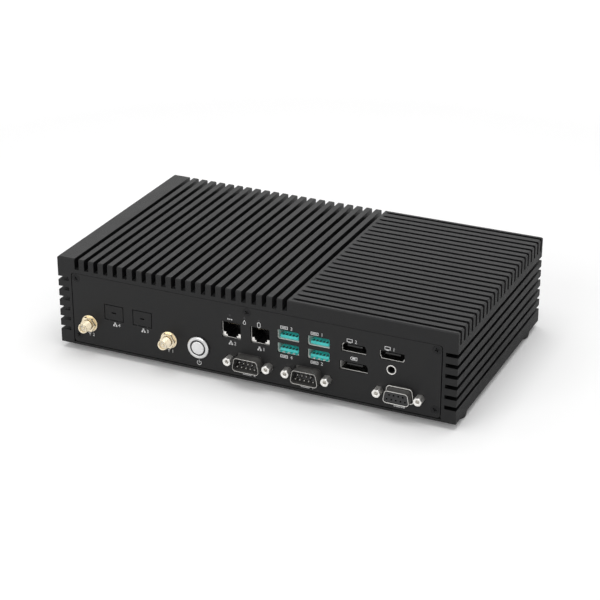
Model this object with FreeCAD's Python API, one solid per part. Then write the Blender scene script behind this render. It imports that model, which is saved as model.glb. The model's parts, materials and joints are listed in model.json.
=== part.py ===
import FreeCAD, Part
import math
import os

from FreeCAD import Vector

os.makedirs("parts", exist_ok=True)

# A fanless computer for machine control. The housing is one milled aluminium block that
# is the heat sink as well: a roof and two side walls with fins outside and four screw rails
# inside. A front panel, a rear panel and a bottom cover close it, and it stands on four
# rubber feet. Sizes are in millimetres. X runs to the right along the front panel, Y runs
# from the front panel to the back, and Z runs up from the ground.

# ------------------------------------------------------------------ housing sizes
housing_width = 255.0
housing_depth = 148.0
housing_height = 56.5
side_wall = 9.0
roof_thickness = 11.3
side_edge_chamfer = 1.2
end_edge_chamfer = 0.6

# The long grooves run from front to back over the left half of the roof.
long_groove_count = 22
long_groove_pitch = 6.51
long_groove_width = 2.9
long_groove_depth = 6.9
flat_band_width = 11.85

# The cross grooves run out through the right side and end in the saw's own radius.
cross_groove_count = 24
cross_groove_pitch = 6.13
cross_groove_width = 2.4
cross_groove_depth = 8.2
saw_radius = 20.0
land_between_fields = 4.6

# The side grooves run from front to back in both side walls.
side_groove_count = 6
side_groove_pitch = 6.56
side_groove_height = 2.4
side_groove_depth = 7.2
side_groove_lowest = 9.6

# ------------------------------------------------------------------ panels, cover, rails
panel_thickness = 1.2
panel_seam = 0.5
panel_top_seam = 0.15
panel_corner_radius = 2.0
panel_overlap_on_roof = 2.0
cover_thickness = 1.5
cover_seam = 0.2
rail_width = 7.4
upper_rail_height = 5.6
lower_rail_height = 9.8
fit_gap = 0.05
# Cutting bodies run this far past the faces that they open.
overcut = 1.0

# ------------------------------------------------------------------ M3 countersunk screws
screw_shank_radius = 1.45
screw_head_radius = 2.6
screw_length = 7.0
screw_hole_spare = 1.0
recess_arm = 0.55
recess_reach = 1.6
recess_depth = 0.8
# A pan head's slope and cross are shares of its own height and radius.
pan_crown_share = 0.4
pan_recess_reach_share = 0.55
pan_recess_depth_share = 0.6
panel_screw_inset = 12.5
middle_screw_station = 0.4941
upper_screw_below_ceiling = 1.2
lower_screw_above_cover = 5.4
middle_boss_width = 8.0
middle_boss_depth = 10.0
cover_screw_inset = 12.8
cover_screw_from_ends = 38.0

# ------------------------------------------------------------------ feet and bracket holes
foot_radius = 7.0
foot_height = 4.0
foot_taper = 0.6
foot_from_side = 7.0
foot_from_ends = 18.0
foot_recess_radius = 3.6
foot_floor = 1.6
foot_screw_head_radius = 2.8
foot_screw_head_height = 1.5
foot_screw_grip = 5.0
bracket_thread_radius = 1.65
bracket_thread_depth = 6.0
bracket_from_side = 5.4
bracket_from_ends = 48.0

# ------------------------------------------------------------------ mainboard
board_underside = 18.0
board_thickness = 1.6
board_side_gap = 2.0
board_end_gap = 2.0
notch_station = 0.4118
notch_depth = 38.0
pillar_radius = 3.6
board_hole_radius = 1.6
board_screw_head_radius = 2.8
board_screw_head_height = 1.8
board_screw_grip = 6.0
# The pillars' places are shares of the housing's width and depth, from its left front corner.
pillar_stations = [
    (0.0941, 0.3514),
    (0.0941, 0.8919),
    (0.5020, 0.8919),
    (0.9098, 0.8919),
    (0.9098, 0.2162),
    (0.5804, 0.2162),
]

# Stations are places along the panels, as shares of the housing's width from its left side,
# so that the ports spread out anew when the width changes.
# ------------------------------------------------------------------ power button
button_station = 0.3698
button_height = 15.2
button_flange_radius = 7.0
button_flange_thickness = 1.8
button_rim_radius = 0.9
button_barrel_radius = 5.8
button_barrel_length = 12.0
button_bore_radius = 4.95
button_hole_gap = 0.15
light_ring_inner_radius = 4.4
light_ring_length = 3.0
light_ring_setback = 0.2
cap_clearance = 0.3
cap_stand_out = 0.1
cap_travel = 1.2
cap_rim_chamfer = 0.25
cap_collar_thickness = 1.0
stem_radius = 1.5
stem_length = 4.3
switch_length = 11.5
switch_terminal = 1.2
button_nut_flats = 14.0
button_nut_thickness = 2.5

# ------------------------------------------------------------------ antenna jacks
antenna_stations = [0.0808, 0.2925]
antenna_height = 16.0
antenna_barrel_radius = 3.175
antenna_reach = 9.0
antenna_neck_radius = 3.0
antenna_bore_radius = 2.3
antenna_bore_depth = 2.0
antenna_pin_radius = 0.65
antenna_flange_flats = 8.0
antenna_flange_thickness = 2.0
antenna_tail_radius = 1.6
antenna_tail_length = 4.0
antenna_hole_gap = 0.12
antenna_nut_flats = 8.6
antenna_nut_thickness = 2.2
antenna_washer_radius = 5.3
antenna_washer_thickness = 0.7

# ------------------------------------------------------------------ front panel details
knock_out_stations = [0.1471, 0.2227]
knock_out_width = 13.0
knock_out_height = 10.1
knock_out_centre = 25.85
knock_out_kerf = 0.45
knock_out_bridge = 0.7
pry_slot_width = 2.9
pry_slot_height = 0.8
indicator_stations = [0.4510, 0.4878, 0.5239]
indicator_height = 40.0
indicator_radius = 0.75
light_bar_height = 2.2
light_bar_thickness = 2.0
light_leg_width = 1.6

# ------------------------------------------------------------------ network sockets
lan_stations = [0.4539, 0.5263]
lan_body_width = 15.9
lan_body_depth = 16.5
lan_body_height = 17.1
lan_opening_width = 11.6
lan_opening_bottom = 28.2
lan_opening_top = 35.2
lan_step_width = 8.0
lan_step_bottom = 26.7
lan_notch_width = 5.8
lan_notch_bottom = 25.5
lan_cavity_depth = 12.0
lan_window_margin = 0.3
shell_wall = 0.35
lan_contact_count = 8
lan_contact_pitch = 1.02
lan_contact_size = 0.35
lan_contact_setback = 3.0
lan_contact_length = 5.5
lan_contact_drop = 2.0
lan_contact_root = 0.9

# ------------------------------------------------------------------ serial ports
com_stations = [0.4992, 0.6449]
gpio_station = 0.8671
serial_height = 11.85
plug_shell_width = 17.6
plug_shell_height = 8.6
plug_shell_reach = 5.9
plug_dimple_pitch = 4.3
plug_dimple_radius = 1.3
plug_dimple_depth = 0.22
plug_dimple_from_rim = 2.4
socket_shell_width = 16.3
socket_shell_height = 7.7
socket_collar_width = 18.4
socket_collar_height = 9.5
socket_collar_reach = 0.8
socket_collar_wall = 0.5
serial_side_angle = 10.0
serial_corner_radius = 2.0
serial_window_gap = 0.9
serial_flange_margin = 1.5
serial_flange_height = 12.1
serial_flange_thickness = 0.8
serial_flange_corner = 1.0
serial_body_width = 19.0
serial_body_depth = 9.0
serial_body_step = 1.0
jackscrew_spacing = 24.99
jackscrew_flats = 4.75
jackscrew_head_length = 5.0
jackscrew_shank_radius = 1.4
jackscrew_shank_length = 7.0
jackscrew_thread_radius = 1.1
jackscrew_thread_depth = 3.5
pin_radius = 0.5
pin_pitch = 2.77
pin_row_gap = 2.84
pin_setback = 1.0
contact_tail = 3.0

# ------------------------------------------------------------------ stacked USB-A sockets
usb_stations = [0.5960, 0.6709]
usb_port_heights = [25.65, 34.05]
usb_mouth_width = 13.2
usb_mouth_height = 5.7
usb_body_width = 14.4
usb_body_depth = 17.0
usb_body_height = 18.6
usb_mouth_corner = 0.7
usb_slot_count = 4
usb_slot_pitch = 3.2
usb_slot_width = 1.8
usb_slot_length = 2.5
usb_tongue_width = 11.1
usb_tongue_thickness = 1.7
usb_tongue_drop = 1.6
usb_tongue_setback = 2.0
usb_cavity_depth = 9.0
tongue_root = 1.0

# ------------------------------------------------------------------ picture and sound ports
display_station = 0.7565
display_upper_height = 34.35
display_lower_height = 22.85
display_mouth_width = 14.6
display_mouth_height = 4.9
display_lower_mouth_width = 16.7
display_lower_mouth_height = 4.9
display_corner_cut = 1.9
display_corner_run = 1.15
display_body_width = 18.6
display_body_depth = 13.0
display_body_height = 18.6
display_cavity_depth = 8.0
display_tongue_thickness = 1.1
display_tongue_width = 9.2
display_lower_tongue_width = 9.8
display_tongue_setback = 2.0
display_tongue_rise = 0.7
media_station = 0.8467
media_body_width = 17.4
media_leg_width = 3.4
media_bridge_thickness = 1.0
sound_height = 26.2
sound_bore_radius = 1.8
sound_bore_length = 11.5
sound_nose_radius = 2.3
sound_ring_radius = 2.85
sound_ring_reach = 0.4
sound_body_width = 7.0
sound_body_height = 9.6
sound_body_depth = 13.0

# ------------------------------------------------------------------ rear panel details
inlet_station = 0.8078
inlet_width = 19.0
inlet_height = 11.0
inlet_depth = 14.0
inlet_reach = 1.0
inlet_wall = 1.2
inlet_pocket_depth = 9.0
inlet_pin_pitch = 5.08
inlet_pin_size = 1.0
inlet_pin_drop = 0.9
inlet_pin_length = 8.0
earth_station = 0.1333
earth_height = 13.0
earth_thread_radius = 1.95
earth_head_radius = 4.0
earth_head_height = 2.6
earth_nut_radius = 4.4
earth_nut_thickness = 3.0

# ------------------------------------------------------------------ parts on the mainboard
processor_station = 0.3922
processor_depth_station = 0.5811
processor_size = 37.5
processor_thickness = 1.2
die_size = 16.0
die_thickness = 0.8
pad_thickness = 0.5
spreader_size = 46.0
spreader_screw_inset = 5.0
spreader_screw_grip = 3.0
memory_station = 0.7373
memory_from_front = 46.0
memory_socket_width = 73.8
memory_socket_depth = 7.0
memory_socket_height = 5.2
memory_arm_width = 3.4
memory_arm_length = 30.0
memory_card_width = 67.6
memory_card_length = 30.0
memory_card_thickness = 1.2
memory_chip_size = 11.0
memory_chip_height = 1.0
memory_chip_pitch = 14.85
slot_socket_width = 21.9
slot_socket_depth = 8.7
slot_socket_height = 4.2
slot_socket_cheek = 1.0
slot_card_width = 22.0
slot_card_thickness = 0.8
slot_card_bite = 3.0
slot_card_height = 2.4
slot_chip_height = 1.1
slot_chip_length = 14.0
slot_chip_width = 14.6
slot_chip_pitch = 18.0
slot_chip_from_end = 6.0
ssd_station = 0.8706
ssd_depth_station = 0.7027
ssd_length = 80.0
ssd_chip_count = 3
wireless_station = 0.2588
wireless_from_front = 62.0
wireless_length = 30.0
card_screw_radius = 1.0
card_screw_head_radius = 2.2
card_screw_head_height = 0.8
card_standoff_radius = 2.4
pigtail_radius = 0.7
pigtail_bend = 7.0
pigtail_plug_radius = 1.3
pigtail_plug_height = 1.9
pigtail_plugs_from_socket = [23.0, 18.0]
pigtail_plug_from_card_edge = 2.0
pigtail_straight_run = 20.0
pigtail_last_run = 16.0
coin_station = 0.7843
coin_from_front = 62.0
coin_radius = 10.0
coin_thickness = 3.2
coin_holder_wall = 1.4
coil_count = 4
coil_pitch = 11.5
coil_size = 9.0
coil_height = 5.0
coil_from_processor = 38.0
can_count = 5
can_pitch = 9.0
can_radius = 3.15
can_height = 8.0
can_from_processor = 37.0

# ------------------------------------------------------------------ planes of the frame
# The origin is under the middle of the whole object, jacks and screws counted, on the ground.
front_reach = max(antenna_reach, plug_shell_reach, jackscrew_head_length)
rear_reach = max(earth_head_height, inlet_reach)
left = -housing_width / 2
right = housing_width / 2
front = (front_reach - housing_depth - rear_reach) / 2
back = front + housing_depth
base = foot_height
top = base + housing_height
ceiling = top - roof_thickness
cover_top = base + cover_thickness
board_bottom = base + board_underside
board_top = board_bottom + board_thickness
panel_back = front + panel_thickness
rear_panel_face = back - panel_thickness
upper_screw_z = ceiling - upper_screw_below_ceiling
lower_screw_z = cover_top + lower_screw_above_cover
into_front = Vector(0, 1, 0)
into_back = Vector(0, -1, 0)
upwards = Vector(0, 0, 1)


# ------------------------------------------------------------------ building blocks
def station(share):
    """The X of a place along the housing's width."""
    return left + share * housing_width


def depth_station(share):
    """The Y of a place along the housing's depth."""
    return front + share * housing_depth


def block(x0, x1, y0, y1, z0, z1):
    """A box between two planes each way."""
    return Part.makeBox(x1 - x0, y1 - y0, z1 - z0, Vector(x0, y0, z0))


def rod(radius, x, z, y0, y1):
    """A round bar along Y."""
    return Part.makeCylinder(radius, y1 - y0, Vector(x, y0, z), into_front)


def post(radius, x, y, z0, z1):
    """A round bar along Z."""
    return Part.makeCylinder(radius, z1 - z0, Vector(x, y, z0), upwards)


def hexagon(flats, thickness):
    """A hexagonal bar along Z, standing on the origin."""
    corner_radius = flats / 2 / math.cos(math.pi / 6)
    corners = [
        Vector(corner_radius * math.cos(k * math.pi / 3), corner_radius * math.sin(k * math.pi / 3), 0)
        for k in range(7)
    ]
    return Part.Face(Part.makePolygon(corners)).extrude(Vector(0, 0, thickness))


def placed(shape, point, direction):
    """The shape turned from the Z axis to a direction and moved to a point."""
    moved = shape.copy()
    moved.Placement = FreeCAD.Placement(point, FreeCAD.Rotation(upwards, direction))
    return moved


def front_prism(outline, y0, y1, radius=0):
    """A prism along Y on an outline of (x, z) corners, with its long edges rounded."""
    corners = [Vector(x, y0, z) for x, z in outline]
    prism = Part.Face(Part.makePolygon(corners + corners[:1])).extrude(Vector(0, y1 - y0, 0))
    if radius:
        long_edges = [edge for edge in prism.Edges if abs(edge.tangentAt(edge.FirstParameter).y) > 0.5]
        prism = prism.makeFillet(radius, long_edges)
    return prism


def rectangle(x, z, width, height):
    """The corners of an upright rectangle about its centre."""
    return [
        (x - width / 2, z - height / 2),
        (x + width / 2, z - height / 2),
        (x + width / 2, z + height / 2),
        (x - width / 2, z + height / 2),
    ]


def joined(shapes):
    """One solid from pieces that touch or overlap."""
    return shapes[0].multiFuse(shapes[1:]).removeSplitter()


def save(name, shapes):
    """Writes one node, which is a single solid or a group of like fasteners."""
    shape = shapes if isinstance(shapes, Part.Shape) else Part.makeCompound(shapes)
    shape.exportStep("parts/" + name + ".step")


# ------------------------------------------------------------------ screws
def cross_recess(reach, depth):
    """The cross cut in a screw's head, sunk along Z from the origin."""
    arms = [
        block(-reach, reach, -recess_arm / 2, recess_arm / 2, 0, depth),
        block(-recess_arm / 2, recess_arm / 2, -reach, reach, 0, depth),
    ]
    return joined(arms)


def countersunk_screw():
    """An M3 screw along Z with its flat head face at the origin."""
    cone_height = screw_head_radius - screw_shank_radius
    head = Part.makeCone(screw_head_radius, screw_shank_radius, cone_height)
    shank = Part.makeCylinder(screw_shank_radius, screw_length)
    return joined([head, shank]).cut(cross_recess(recess_reach, recess_depth))


def countersunk_hole(depth):
    """The hole that such a screw needs, along Z from the origin."""
    radius = screw_head_radius + fit_gap
    cone = Part.makeCone(radius, screw_shank_radius + fit_gap, screw_head_radius - screw_shank_radius)
    return joined([cone, Part.makeCylinder(screw_shank_radius + fit_gap, depth)])


def pan_screw(head_radius, head_height, shank_radius, length):
    """A pan-head screw along Z, with the underside of its head at the origin."""
    slope = head_height * pan_crown_share
    crown = Part.makeCone(head_radius - slope, head_radius, slope, Vector(0, 0, -head_height))
    head = Part.makeCylinder(head_radius, head_height - slope, Vector(0, 0, slope - head_height))
    screw = joined([crown, head, Part.makeCylinder(shank_radius, length)])
    recess = cross_recess(head_radius * pan_recess_reach_share, head_height * pan_recess_depth_share)
    recess.translate(Vector(0, 0, -head_height))
    return screw.cut(recess)


panel_screw_places = [
    (left + panel_screw_inset, upper_screw_z),
    (station(middle_screw_station), upper_screw_z),
    (right - panel_screw_inset, upper_screw_z),
    (left + panel_screw_inset, lower_screw_z),
    (right - panel_screw_inset, lower_screw_z),
]
cover_screw_places = [
    (x, y)
    for x in (left + cover_screw_inset, right - cover_screw_inset)
    for y in (front + cover_screw_from_ends, (front + back) / 2, back - cover_screw_from_ends)
]
foot_places = {
    "front_left": (left + foot_from_side, front + foot_from_ends),
    "front_right": (right - foot_from_side, front + foot_from_ends),
    "rear_left": (left + foot_from_side, back - foot_from_ends),
    "rear_right": (right - foot_from_side, back - foot_from_ends),
}
bracket_places = [
    (x, y)
    for x in (left + bracket_from_side, right - bracket_from_side)
    for y in (front + bracket_from_ends, back - bracket_from_ends)
]
pillars = [(station(across), depth_station(along)) for across, along in pillar_stations]
spreader_x = station(processor_station)
spreader_y = depth_station(processor_depth_station)
spreader_reach = spreader_size / 2 - spreader_screw_inset
spreader_screw_places = [
    (spreader_x + side * spreader_reach, spreader_y + end * spreader_reach)
    for side in (-1, 1)
    for end in (-1, 1)
]


# ------------------------------------------------------------------ heat-sink housing
# The block is milled from solid. Long fins cover the left half of its roof, cross fins
# the right half, and six side fins run along each wall.
def outer_block():
    solid = block(left, right, front, back, base, top)
    roof_edges = [edge for edge in solid.Edges if min(v.Z for v in edge.Vertexes) > top - fit_gap]
    side_edges = [edge for edge in roof_edges if abs(edge.tangentAt(edge.FirstParameter).y) > 0.5]
    solid = solid.makeChamfer(side_edge_chamfer, side_edges)
    end_edges = [
        edge
        for edge in solid.Edges
        if min(v.Z for v in edge.Vertexes) > top - fit_gap
        and abs(edge.tangentAt(edge.FirstParameter).x) > 0.5
    ]
    return solid.makeChamfer(end_edge_chamfer, end_edges)


def long_grooves():
    floor = top - long_groove_depth
    starts = [left + flat_band_width + k * long_groove_pitch for k in range(long_groove_count)]
    return [block(x, x + long_groove_width, front - overcut, back + overcut, floor, top + overcut) for x in starts]


def cross_grooves():
    """Slots that run out of the right side, each ending in an arc of the saw's radius."""
    field_end = left + flat_band_width + (long_groove_count - 1) * long_groove_pitch + long_groove_width
    surface_start = field_end + land_between_fields
    floor = top - cross_groove_depth
    run_out = math.sqrt(saw_radius ** 2 - (saw_radius - cross_groove_depth) ** 2)
    saw_x = surface_start + run_out
    first = (front + back) / 2 - (cross_groove_count - 1) * cross_groove_pitch / 2
    cuts = []
    for k in range(cross_groove_count):
        y0 = first + k * cross_groove_pitch - cross_groove_width / 2
        y1 = y0 + cross_groove_width
        saw = rod(saw_radius, saw_x, floor + saw_radius, y0, y1)
        cuts.append(joined([saw, block(saw_x, right + overcut, y0, y1, floor, floor + 2 * saw_radius)]))
    return cuts


def side_grooves():
    cuts = []
    for k in range(side_groove_count):
        middle = base + side_groove_lowest + k * side_groove_pitch
        z0 = middle - side_groove_height / 2
        z1 = middle + side_groove_height / 2
        cuts.append(block(left - overcut, left + side_groove_depth, front - overcut, back + overcut, z0, z1))
        cuts.append(block(right - side_groove_depth, right + overcut, front - overcut, back + overcut, z0, z1))
    return cuts


def inside():
    """The room under the roof, less the four screw rails that are left standing in it."""
    room = block(left + side_wall, right - side_wall, front - overcut, back + overcut, base - overcut, ceiling)
    rails = []
    for x in (left + side_wall, right - side_wall - rail_width):
        upper = block(x, x + rail_width, panel_back, rear_panel_face, ceiling - upper_rail_height, ceiling)
        lower_top = cover_top + lower_rail_height
        lower = block(x, x + rail_width, panel_back, rear_panel_face, cover_top, lower_top)
        rails += [upper, lower]
    return room.cut(Part.makeCompound(rails))


def panel_rebate(y0, y1):
    """The shallow seat that lets a panel lie flush, with its upper corners rounded."""
    z1 = ceiling + panel_overlap_on_roof
    z0 = cover_top - 2 * panel_corner_radius
    width = housing_width - 2 * side_wall
    return front_prism(rectangle(0, (z0 + z1) / 2, width, z1 - z0), y0, y1, panel_corner_radius)


def housing_threads():
    """Blind tapped holes for the panel, cover, foot, bracket, board and spreader screws."""
    radius = screw_shank_radius + fit_gap
    depth = screw_length + screw_hole_spare
    holes = []
    for x, z in panel_screw_places:
        holes.append(rod(radius, x, z, front, front + depth))
        holes.append(rod(radius, x, z, back - depth, back))
    for x, y in cover_screw_places:
        holes.append(post(radius, x, y, base, base + depth))
    for x, y in foot_places.values():
        holes.append(post(radius, x, y, base, base + foot_screw_grip + screw_hole_spare))
    for x, y in bracket_places:
        holes.append(post(bracket_thread_radius, x, y, base, base + bracket_thread_depth))
    for x, y in pillars:
        holes.append(post(radius, x, y, board_top, board_top + board_screw_grip + screw_hole_spare))
    for x, y in spreader_screw_places:
        holes.append(post(radius, x, y, ceiling, ceiling + spreader_screw_grip))
    return holes


def heatsink_housing():
    middle_x = station(middle_screw_station)
    boss_bottom = upper_screw_z - 2 * upper_screw_below_ceiling
    x0 = middle_x - middle_boss_width / 2
    x1 = middle_x + middle_boss_width / 2
    bosses = [
        block(x0, x1, panel_back, panel_back + middle_boss_depth, boss_bottom, ceiling),
        block(x0, x1, rear_panel_face - middle_boss_depth, rear_panel_face, boss_bottom, ceiling),
    ]
    bosses += [post(pillar_radius, x, y, board_top, ceiling) for x, y in pillars]
    rebates = [panel_rebate(front - overcut, panel_back), panel_rebate(rear_panel_face, back + overcut)]
    shell = outer_block().cut(Part.makeCompound([inside()] + rebates))
    shell = shell.multiFuse(bosses)
    shell = shell.cut(Part.makeCompound(long_grooves() + side_grooves()))
    shell = shell.cut(Part.makeCompound(cross_grooves()))
    return shell.cut(Part.makeCompound(housing_threads()))


save("heatsink_housing", heatsink_housing())


# ------------------------------------------------------------------ port outlines
def serial_outline(x, z, width, height):
    """The D shape of a nine-pin port, wide side down."""
    lean = height * math.tan(math.radians(serial_side_angle))
    return [
        (x - width / 2, z - height / 2),
        (x + width / 2, z - height / 2),
        (x + width / 2 - lean, z + height / 2),
        (x - width / 2 + lean, z + height / 2),
    ]


def cut_corner_outline(x, z, width, height, cut_left, cut_right, side):
    """A wide mouth with corners cut off on its upper side (1) or its lower side (-1)."""
    far = z - side * height / 2
    near = z + side * height / 2
    shoulder = near - side * display_corner_cut
    outline = [(x - width / 2, far), (x + width / 2, far)]
    if cut_right:
        outline += [(x + width / 2, shoulder), (x + width / 2 - display_corner_run, near)]
    else:
        outline += [(x + width / 2, near)]
    if cut_left:
        outline += [(x - width / 2 + display_corner_run, near), (x - width / 2, shoulder)]
    else:
        outline += [(x - width / 2, near)]
    return outline


def usb_mouths(x, grow, y0, y1):
    """The two mouths of a stack, or the room round them."""
    width = usb_mouth_width + 2 * grow
    height = usb_mouth_height + 2 * grow
    return [front_prism(rectangle(x, base + port_height, width, height), y0, y1, usb_mouth_corner + grow)
            for port_height in usb_port_heights]


def lan_opening(x, y0, y1):
    """The mouth for a network plug: a wide room over two steps for its latch."""
    rooms = [
        (lan_opening_width, lan_opening_bottom),
        (lan_step_width, lan_step_bottom),
        (lan_notch_width, lan_notch_bottom),
    ]
    z1 = base + lan_opening_top
    return joined([block(x - width / 2, x + width / 2, y0, y1, base + bottom, z1) for width, bottom in rooms])


# ------------------------------------------------------------------ front panel
def panel_blank(y0, y1):
    z0 = cover_top + panel_seam
    z1 = ceiling + panel_overlap_on_roof - panel_top_seam
    width = housing_width - 2 * (side_wall + panel_seam)
    return front_prism(rectangle(0, (z0 + z1) / 2, width, z1 - z0), y0, y1, panel_corner_radius)


def knock_out_cuts(x):
    """A plate left hanging in its laser cut by bridges, with a slot to prise it out."""
    z = base + knock_out_centre
    outer = rectangle(x, z, knock_out_width, knock_out_height)
    inner = rectangle(x, z, knock_out_width - 2 * knock_out_kerf, knock_out_height - 2 * knock_out_kerf)
    kerf = front_prism(outer, front, panel_back).cut(front_prism(inner, front, panel_back))
    bridges = [
        block(x + side - knock_out_bridge / 2, x + side + knock_out_bridge / 2, front, panel_back,
              z - knock_out_height, z)
        for side in (-knock_out_width / 4, knock_out_width / 4)
    ]
    slot = front_prism(rectangle(x, z, pry_slot_width, pry_slot_height), front, panel_back)
    return [kerf.cut(Part.makeCompound(bridges)), slot]


def serial_window(x):
    width = plug_shell_width + 2 * serial_window_gap
    height = plug_shell_height + 2 * serial_window_gap
    outline = serial_outline(x, base + serial_height, width, height)
    return front_prism(outline, front, panel_back, serial_corner_radius)


def display_outline(grow=0.0):
    z = base + display_upper_height
    width = display_mouth_width + 2 * grow
    height = display_mouth_height + 2 * grow
    return cut_corner_outline(station(display_station), z, width, height, True, True, 1)


def media_outline(grow=0.0):
    z = base + display_upper_height
    width = display_mouth_width + 2 * grow
    height = display_mouth_height + 2 * grow
    return cut_corner_outline(station(media_station), z, width, height, True, True, -1)


def display_lower_outline(grow=0.0):
    z = base + display_lower_height
    width = display_lower_mouth_width + 2 * grow
    height = display_lower_mouth_height + 2 * grow
    return cut_corner_outline(station(display_station), z, width, height, False, True, 1)


def front_panel():
    y0 = front
    y1 = panel_back
    cuts = []
    for share in knock_out_stations:
        cuts += knock_out_cuts(station(share))
    antenna_hole = antenna_barrel_radius + antenna_hole_gap
    for share in antenna_stations:
        cuts.append(rod(antenna_hole, station(share), base + antenna_height, y0, y1))
    button_radius = button_barrel_radius + button_hole_gap
    cuts.append(rod(button_radius, station(button_station), base + button_height, y0, y1))
    for share in indicator_stations:
        cuts.append(rod(indicator_radius + fit_gap, station(share), base + indicator_height, y0, y1))
    for share in lan_stations:
        x = station(share)
        reach = lan_opening_width / 2 + lan_window_margin
        cuts.append(block(x - reach, x + reach, y0, y1, base + lan_notch_bottom - lan_window_margin,
                          base + lan_opening_top + lan_window_margin))
    for share in com_stations + [gpio_station]:
        cuts.append(serial_window(station(share)))
        for side in (-1, 1):
            hole_x = station(share) + side * jackscrew_spacing / 2
            cuts.append(rod(jackscrew_shank_radius + fit_gap, hole_x, base + serial_height, y0, y1))
    for share in usb_stations:
        cuts += usb_mouths(station(share), shell_wall, y0, y1)
    for outline in (display_outline, display_lower_outline, media_outline):
        cuts.append(front_prism(outline(shell_wall), y0, y1))
    cuts.append(rod(sound_ring_radius + fit_gap, station(media_station), base + sound_height, y0, y1))
    for x, z in panel_screw_places:
        cuts.append(placed(countersunk_hole(panel_thickness), Vector(x, front, z), into_front))
    return panel_blank(y0, y1).cut(Part.makeCompound(cuts))


save("front_panel", front_panel())


# ------------------------------------------------------------------ rear panel
inlet_x = station(inlet_station)
inlet_z0 = board_top
inlet_z1 = board_top + inlet_height
earth_x = station(earth_station)
earth_z = base + earth_height


def rear_panel():
    """The rear plate, with the nut for the earth screw pressed into its inner side."""
    y0 = rear_panel_face
    y1 = back
    nut = rod(earth_nut_radius, earth_x, earth_z, y0 - earth_nut_thickness, y0)
    cuts = [block(inlet_x - inlet_width / 2 - fit_gap, inlet_x + inlet_width / 2 + fit_gap, y0, y1,
                  inlet_z0 - fit_gap, inlet_z1 + fit_gap)]
    cuts.append(rod(earth_thread_radius + fit_gap, earth_x, earth_z, y0 - earth_nut_thickness, y1))
    for x, z in panel_screw_places:
        cuts.append(placed(countersunk_hole(panel_thickness), Vector(x, back, z), into_back))
    return joined([panel_blank(y0, y1), nut]).cut(Part.makeCompound(cuts))


save("rear_panel", rear_panel())


# The direct-current inlet is a pin header for a pluggable terminal block.
def power_inlet():
    x0 = inlet_x - inlet_width / 2
    x1 = inlet_x + inlet_width / 2
    y1 = back + inlet_reach
    body = block(x0, x1, y1 - inlet_depth, y1, inlet_z0, inlet_z1)
    pocket = block(x0 + inlet_wall, x1 - inlet_wall, y1 - inlet_pocket_depth, y1,
                   inlet_z0 + inlet_wall, inlet_z1 - inlet_wall)
    return body.cut(Part.makeCompound([pocket] + [inlet_pin(k, fit_gap) for k in (-1, 0, 1)]))


def inlet_pin(place, grow=0.0):
    """A square pin that starts in the header's back wall and stands in its pocket."""
    half = inlet_pin_size / 2 + grow
    x = inlet_x + place * inlet_pin_pitch
    z = (inlet_z0 + inlet_z1) / 2 - inlet_pin_drop
    y1 = back + inlet_reach - 2 * inlet_wall
    return block(x - half, x + half, y1 - inlet_pin_length, y1, z - half, z + half)


earth_length = panel_thickness + earth_nut_thickness
earth_screw = pan_screw(earth_head_radius, earth_head_height, earth_thread_radius, earth_length)
save("power_inlet", power_inlet())
save("power_inlet_pins", [inlet_pin(k) for k in (-1, 0, 1)])
save("earth_screw", placed(earth_screw, Vector(earth_x, back, earth_z), into_back))


# ------------------------------------------------------------------ bottom cover and feet
def bottom_cover():
    x0 = left + side_wall + cover_seam
    plate = block(x0, -x0, front, back, base, cover_top)
    holes = [placed(countersunk_hole(cover_thickness), Vector(x, y, base), upwards)
             for x, y in cover_screw_places]
    return plate.cut(Part.makeCompound(holes))


def rubber_foot(x, y):
    body = Part.makeCone(foot_radius - foot_taper, foot_radius, foot_height, Vector(x, y, 0))
    recess = post(foot_recess_radius, x, y, 0, foot_height - foot_floor)
    return body.cut(recess).cut(post(screw_shank_radius + fit_gap, x, y, 0, foot_height))


save("bottom_cover", bottom_cover())
panel_screws = [placed(countersunk_screw(), Vector(x, front, z), into_front) for x, z in panel_screw_places]
panel_screws += [placed(countersunk_screw(), Vector(x, back, z), into_back) for x, z in panel_screw_places]
panel_screws += [placed(countersunk_screw(), Vector(x, y, base), upwards) for x, y in cover_screw_places]
save("countersunk_screws", panel_screws)
for corner, (foot_x, foot_y) in foot_places.items():
    save("rubber_foot_" + corner, rubber_foot(foot_x, foot_y))
foot_screw = pan_screw(foot_screw_head_radius, foot_screw_head_height, screw_shank_radius,
                       foot_floor + foot_screw_grip)
save("foot_screws", [placed(foot_screw, Vector(x, y, foot_height - foot_floor), upwards)
                     for x, y in foot_places.values()])


# ------------------------------------------------------------------ power button
# A metal button with a lit ring: a bezel with a threaded barrel, the ring pressed into its
# bore, a cap that is pushed in, a switch body behind it and a nut behind the panel.
button_x = station(button_station)
button_z = base + button_height
bezel_face = front - button_flange_thickness
ring_front = bezel_face + light_ring_setback
ring_back = ring_front + light_ring_length
cap_radius = light_ring_inner_radius - cap_clearance
collar_front = ring_back + cap_clearance
collar_back = collar_front + cap_collar_thickness
switch_front = collar_back + cap_travel + cap_clearance


def power_button_bezel():
    flange = rod(button_flange_radius, button_x, button_z, bezel_face, front)
    rim = [edge for edge in flange.Edges if edge.Closed and edge.CenterOfMass.y < bezel_face + fit_gap]
    flange = flange.makeFillet(button_rim_radius, rim)
    barrel = rod(button_barrel_radius, button_x, button_z, front, front + button_barrel_length)
    bore = rod(button_bore_radius, button_x, button_z, bezel_face, front + button_barrel_length)
    return joined([flange, barrel]).cut(bore)


def power_button_light_ring():
    ring = rod(button_bore_radius - fit_gap, button_x, button_z, ring_front, ring_back)
    return ring.cut(rod(light_ring_inner_radius, button_x, button_z, ring_front, ring_back))


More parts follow.
